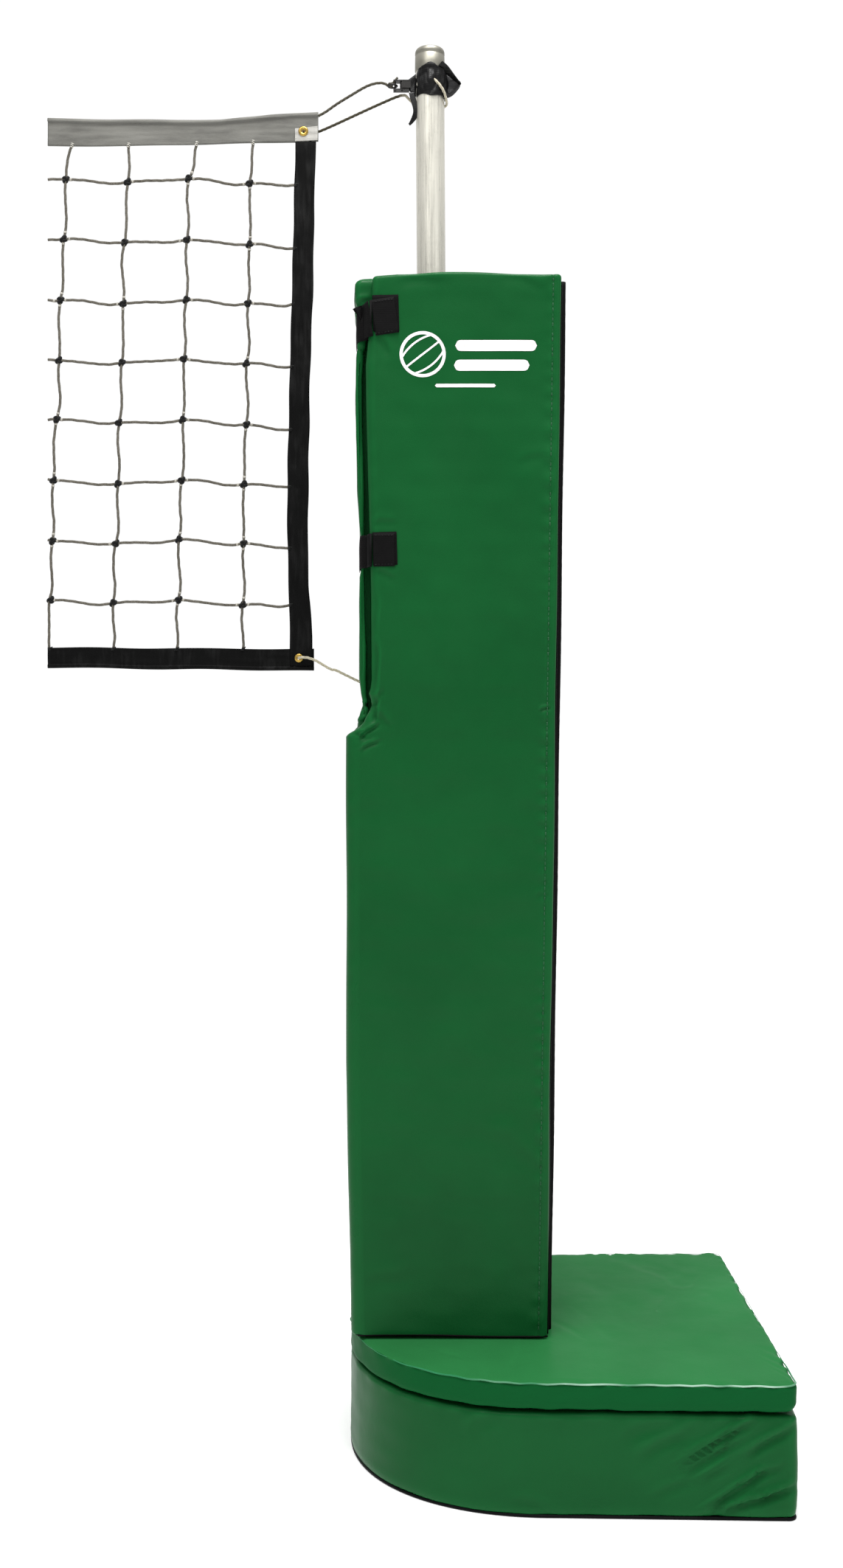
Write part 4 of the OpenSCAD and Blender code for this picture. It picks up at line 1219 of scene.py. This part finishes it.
def tape_piece(name, x_end, free, fold, roll, slot, node, seed, amount, hole):
    """A tape from the net's end to x_end, between the heights free(x) and fold(x)."""
    xs = np.arange(NET_END, x_end + 0.1, 2.6)
    rings = np.array([tape_ring(x, free(x), fold(x), roll, 1.9) for x in xs])
    n = normals(rings)
    if np.mean(n[:, 5, 1]) > 0:
        n = -n
    rings[..., 1] += tape_bend(rings, amount, seed)
    lift = 0.35 * amount * waves(rings * [0.25, 1, 4.0], 30, seed + 2)
    rings = rings + n * lift[..., None]
    rings[..., 2] += 0.48 * np.sin(rings[..., 0] / 31 + seed)
    mesh = pierced(loft(rings), hole, 5.2)
    if np.mean(normals(rings)[:, 5, 1]) > 0:
        mesh = flipped(mesh)
    return piece(name, mesh, "mast", slot, [node])


tape_upper = tape_piece("tape_upper", -204, tape_bottom, tape_top, 5.4, "tape_cloth", "top_tape",
                        81, 0.9, TOP_HOLE)
tape_lower = tape_piece("tape_lower", -211, low_tape_free, low_tape, 4.5, "black_tape", "bottom_tape",
                        91, 0.7, LOW_HOLE)
tape_rope("rope_upper", -206, lambda x: tape_top(x) - 5.4, "grey_cord", "head_rope")
tape_rope("rope_lower", -214, lambda x: low_tape(x) + 4.5, "cream_cord", "foot_rope")


def band_left(z):
    """X of the side band's left edge: it bows with the pull of the net."""
    t = (2336 - z) / 955
    return float(np.interp(t, [0, 0.15, 0.3, 0.45, 0.6, 0.7, 0.8, 0.9, 1],
                           [-244.8, -248.3, -251.6, -255.4, -258.8, -259.7, -258.6, -256, -253.5]))


# Side band: a flat black strap with turned edges, curving with the pull of the net
zs = np.arange(1384, 2342, 4.0)
rings = []
for z in zs:
    x0 = band_left(z) - 0.5 + 0.6 * sin(z / 19)
    w = 37.2 + 0.6 * sin(z / 53) + 2.6 * clamp((1530 - z) / 90)
    ring = []
    cols = np.linspace(0, 1, 15)
    thick = 2.4 - 1.5 * clamp((z - 2331) / 4)
    hem = 0.7 if z < 2331 else 0.0
    for c in cols:
        ring.append((x0 + w * c, -thick - hem * exp(-((c - 0.07) / 0.06) ** 2)
                     - hem * exp(-((c - 0.93) / 0.06) ** 2), z))
    for c in cols[::-1]:
        ring.append((x0 + w * c, thick, z))
    rings.append(ring)
rings = np.array(rings)
mid = rings * [1, 0, 1]
calm = np.clip((2331 - rings[..., 2]) / 20, 0, 1)
rings[..., 1] += calm * (1.1 * waves(mid, 85, 101) + 0.7 * waves(mid * [2.5, 1, 0.6], 36, 102))
rings = pushed(rings, 0.35 * waves(rings * [3, 1, 0.5], 22, 103))
band = piece("band_side", pierced(loft(rings), LOW_HOLE, 5), "mast", "black_tape", ["side_band"])


COLUMN_TOPS = [-649, -547, -424, -322]      # X where each column meets the top tape
FOOT_SHIFTS = [1, 2, 0, 3]                  # how far each column's foot stands off its line
END_DROPS = [3, 8, 1, 6, 9, 5, 8, 0]        # how far each row drops to the side band


def column_x(j, z):
    t = (ROW_TOP - z) / (MESH * 7)
    return -661 + 111.2 * j - (29 - 5 * j) * t


def knot_at(i, j):
    z = ROW_TOP - MESH * i + [2.2, -3.2, 3.0, -5.0][j] + 1.2 * sin(i * 1.9 + j)
    return column_x(j, z) + 1.2 * sin(i * 2.3 + j * 1.7), 0.0, z


def wavy(a, b, sag, swing, seed):
    """Points from a to b, not including b: an uneven S bend, in Z where it sags and in X where it swings."""
    r = random.Random(seed)
    pts = [a]
    bend = r.uniform(0.35, 1.25)
    for t in (0.08, 0.2, 0.36, 0.5, 0.66, 0.8, 0.92):
        k = sin(pi * t)
        s_bend = bend * sin(2 * pi * t) * (0.6 + 0.4 * t)
        x = a[0] + (b[0] - a[0]) * t + swing * k - (2.5 * s_bend if swing else 0) + r.uniform(-0.4, 0.4)
        z = a[2] + (b[2] - a[2]) * t - sag * k + (2.7 * s_bend if sag else 0) + r.uniform(-0.4, 0.4)
        pts.append((x, 0.8 * sin(7 * t + seed), z))
    return pts


ROWS, COLUMNS = [], []
parts = []
for i in range(8):
    here = knot_at(i, 0)
    pts = []
    start = (NET_END, 0.0, here[2] + rng.uniform(-1.5, 3.5))
    if here[0] - start[0] > 8:
        middle = (start[2] + here[2]) / 2 - rng.uniform(-1, 2.2)
        pts += [start, (start[0] + (here[0] - start[0]) * 0.5, 0.0, middle)]
    for j in range(3):
        pts += wavy(knot_at(i, j), knot_at(i, j + 1), rng.uniform(0.5, 3.5), 0, i * 10 + j)
    last = knot_at(i, 3)
    end = (band_left(last[2]) + 3, 0.0, last[2] - END_DROPS[i])
    pts += wavy(last, end, rng.uniform(-1, 2.5), 0, i * 10 + 7)[:-1]
    pts.append(end)
    ROWS.append(smooth_path(pts, 1.8))
    parts.append(tube(ROWS[-1], TWINE, 10, strands=3, pitch=19))
piece("twine_rows", merge(*parts), "mast", "twine", ["net_rows"])

parts = []
for j, top_x in enumerate(COLUMN_TOPS):
    pts = [(top_x, 0.0, tape_bottom(top_x) + 1)]
    pts += wavy(pts[0], knot_at(0, j), 0, [-3, 2, 3, 1][j], 200 + j)[1:]
    for i in range(7):
        pts += wavy(knot_at(i, j), knot_at(i + 1, j), 0, rng.uniform(-3, 3), 300 + 10 * i + j)
    last = knot_at(7, j)
    end = (column_x(j, COLUMN_FOOT) + FOOT_SHIFTS[j], 0.0, float(COLUMN_FOOT))
    pts += wavy(last, end, 0, rng.uniform(-2, 2), 400 + j)
    pts.append(end)
    q = smooth_path(pts, 1.8)
    q[:, 0] = np.maximum(q[:, 0], -690.9)
    COLUMNS.append(q)
    parts.append(tube(q, TWINE, 10, strands=3, pitch=19))
piece("twine_columns", merge(*parts), "mast", "twine", ["net_columns"])

parts = []
for i in range(8):
    for j in range(4):
        c = knot_at(i, j)
        p = knot_curve((0, 0, 0), 4.5, i + j * 0.8)
        u = (p[:, 0] + p[:, 2]) * 0.7071
        v = (p[:, 2] - p[:, 0]) * 0.7071
        u, v = u * 1.28, v * 0.9
        p = np.column_stack([(u - v) * 0.7071, p[:, 1], (u + v) * 0.7071]) + [max(c[0], -687.5), 0, c[2]]
        parts.append(tube(np.vstack([p, p[:1]]), 3.1, 8, caps=False))
piece("twine_knots", merge(*parts), "mast", "knot_twine", ["net_knots"])

# Pale whipping on the arms beside each knot
parts = []
for i in range(8):
    for j in range(4):
        c = knot_at(i, j)
        for route, sign in ((ROWS[i], 1), (ROWS[i], -1), (COLUMNS[j], 1), (COLUMNS[j], -1)):
            k = int(np.argmin(np.linalg.norm(route - np.array(c), axis=1)))
            a = k + 4 if sign > 0 else k - 7
            if a < 1 or a + 4 > len(route) or route[a][0] < -689 or rng.random() < 0.4:
                continue
            parts.append(tube(route[a:a + 3], 2.9, 10))
piece("knot_whipping", merge(*parts), "mast", "twine", mat=PALE_TWINE)


# Lashings that hold the twine to the tapes and the band
def lash(x, z, height, radius, width=2.4, depth=3.4, seed=0):
    r = random.Random(seed)
    pts = []
    turns = 3
    for k in range(turns * 14 + 1):
        a = 2 * pi * k / 14
        pts.append((x + width * cos(a) + (k / 14 - turns / 2) * 0.9, -depth * sin(a) - 0.2,
                    z + height * (k / (turns * 14) - 0.5) + r.uniform(-0.2, 0.2)))
    return tube(pts, radius, 7)


parts = []
for j, top_x in enumerate(COLUMN_TOPS):
    parts.append(lash(top_x, tape_bottom(top_x) + 1.5, 9, 0.9, seed=j))
piece("tape_lashings", merge(*parts), "mast", "tape_cloth", mat=PALE_THREAD)
parts = []
for j in range(4):
    x = column_x(j, COLUMN_FOOT) + FOOT_SHIFTS[j]
    parts.append(lash(max(x, -689.0), COLUMN_FOOT, 6, 1.0, seed=9 + j))
for i in range(8):
    last = knot_at(i, 3)
    z = last[2] - END_DROPS[i]
    parts.append(lash(band_left(z) + 3, z, 5, 1.1, seed=20 + i))
piece("dark_lashings", merge(*parts), "mast", "knot_twine")

# Bright corner patch and the two grommets
grid = []
for x in np.arange(-246, -204.5, 2.4):
    row = []
    for s in np.linspace(0, 1, 16):
        z = tape_bottom(x) + 1.2 + (2357 + 0.12 * (x + 228) - tape_bottom(x)) * s
        row.append((x, -2.95, z))
    grid.append(row)
grid = np.array(grid)
grid[..., 1] += tape_bend(grid, 0.9, 81) - 0.2
piece("corner_patch", pierced(loft(grid, closed=False, caps=False), TOP_HOLE, 5.2), "mast", "tape_cloth",
      mat=BRIGHT_TAPE)


def grommet(at, size):
    rings = lathe([(3.3, -5.0), (4.0, -6.1), (6.2, -6.7), (8.4, -6.3), (9.5, -5.2), (9.3, -4.6), (6.2, -4.4),
                   (6.0, 4.4), (9.3, 4.6), (9.5, 5.2), (8.4, 6.0), (6.2, 6.4), (4.0, 6.1), (3.3, 5.0),
                   (3.3, -5.0)],
                  (at[0], 0, at[1]), "Y", 40)
    middle = np.array([at[0], 0, at[1]])
    return loft(middle + (rings - middle) * [size, 0.86, size], caps=False)


piece("brass_grommets", merge(grommet(TOP_HOLE, 0.95), grommet(LOW_HOLE, 0.84)), "mast", "brass",
      ["grommets"])


# ---------------------------------------------------------------- stage, light and camera
def floor():
    me = bpy.data.meshes.new("floor")
    s = 14.0
    me.from_pydata([(-s, -s, 0), (s, -s, 0), (s, s, 0), (-s, s, 0)], [], [(0, 1, 2, 3)])
    m = Mat("floor_pale", (0.93, 0.93, 0.93), 0.9, spec=0.1)
    m.colour(m.ramp(m.noise(0.7, 2), [(0.3, (0.92, 0.92, 0.92)), (0.7, (0.94, 0.94, 0.94))]))
    m.set(Emission_Color=(1, 1, 1, 1), Emission_Strength=0.3)
    me.materials.append(m.mat)
    ob = bpy.data.objects.new("floor", me)
    bpy.context.scene.collection.objects.link(ob)


floor()
world = bpy.data.worlds.new("studio")
bpy.context.scene.world = world
world.use_nodes = True
tree = world.node_tree
tree.nodes.clear()
coord = add_node(tree, "TexCoord")
split = add_node(tree, "SeparateXYZ", Vector=coord.outputs["Generated"])


def rise(direction, lo, hi, brightest):
    """Light that grows with one part of the direction."""
    return add_node(tree, "MapRange", Value=direction, From_Min=lo, From_Max=hi, To_Min=0.26,
                    To_Max=brightest).outputs[0]


most = add_node(tree, "Math")
most.operation = "MAXIMUM"
tree.links.new(rise(split.outputs[1], 0.0, 0.8, 0.82), most.inputs[0])
tree.links.new(rise(split.outputs[2], 0.08, 0.7, 0.95), most.inputs[1])
seen = add_node(tree, "LightPath").outputs["Is Camera Ray"]
level = add_node(tree, "Mix", Factor=seen, A=most.outputs[0], B=1.02)
back = add_node(tree, "Background", Color=(1, 1, 1, 1), Strength=level.outputs["Result"])
add_node(tree, "OutputWorld", Surface=back.outputs[0])


def area(name, at, aim, size, power, colour=(1, 1, 1)):
    data = bpy.data.lights.new(name, "AREA")
    data.shape = "RECTANGLE"
    data.size, data.size_y = size
    data.energy = power
    data.color = colour
    ob = bpy.data.objects.new(name, data)
    ob.location = at
    ob.rotation_mode = "QUATERNION"
    ob.rotation_quaternion = (Vector(aim) - Vector(at)).to_track_quat("-Z", "Y")
    bpy.context.scene.collection.objects.link(ob)


area("key", (-0.9, -2.3, 4.2), (0.1, 0, 0.7), (1.5, 0.5), 27, (1, 0.99, 0.97))
area("fill", (2.6, -2.6, 2.6), (0, 0, 1.0), (2.0, 2.0), 8)
area("top", (0.25, -0.95, 4.7), (0.2, -0.1, 0.2), (1.3, 1.3), 112)

bpy.context.scene.view_settings.view_transform = "Standard"
data = bpy.data.cameras.new("camera")
data.sensor_fit = "AUTO"
data.sensor_width = 36
data.lens = 37.76
data.shift_x = 0.0026
data.shift_y = -0.0245
camera = bpy.data.objects.new("camera", data)
camera.location = (-0.025, -2.973, 1.242)
camera.rotation_euler = (radians(90), 0, 0)
bpy.context.scene.collection.objects.link(camera)
bpy.context.scene.camera = camera

bpy.context.view_layer.update()
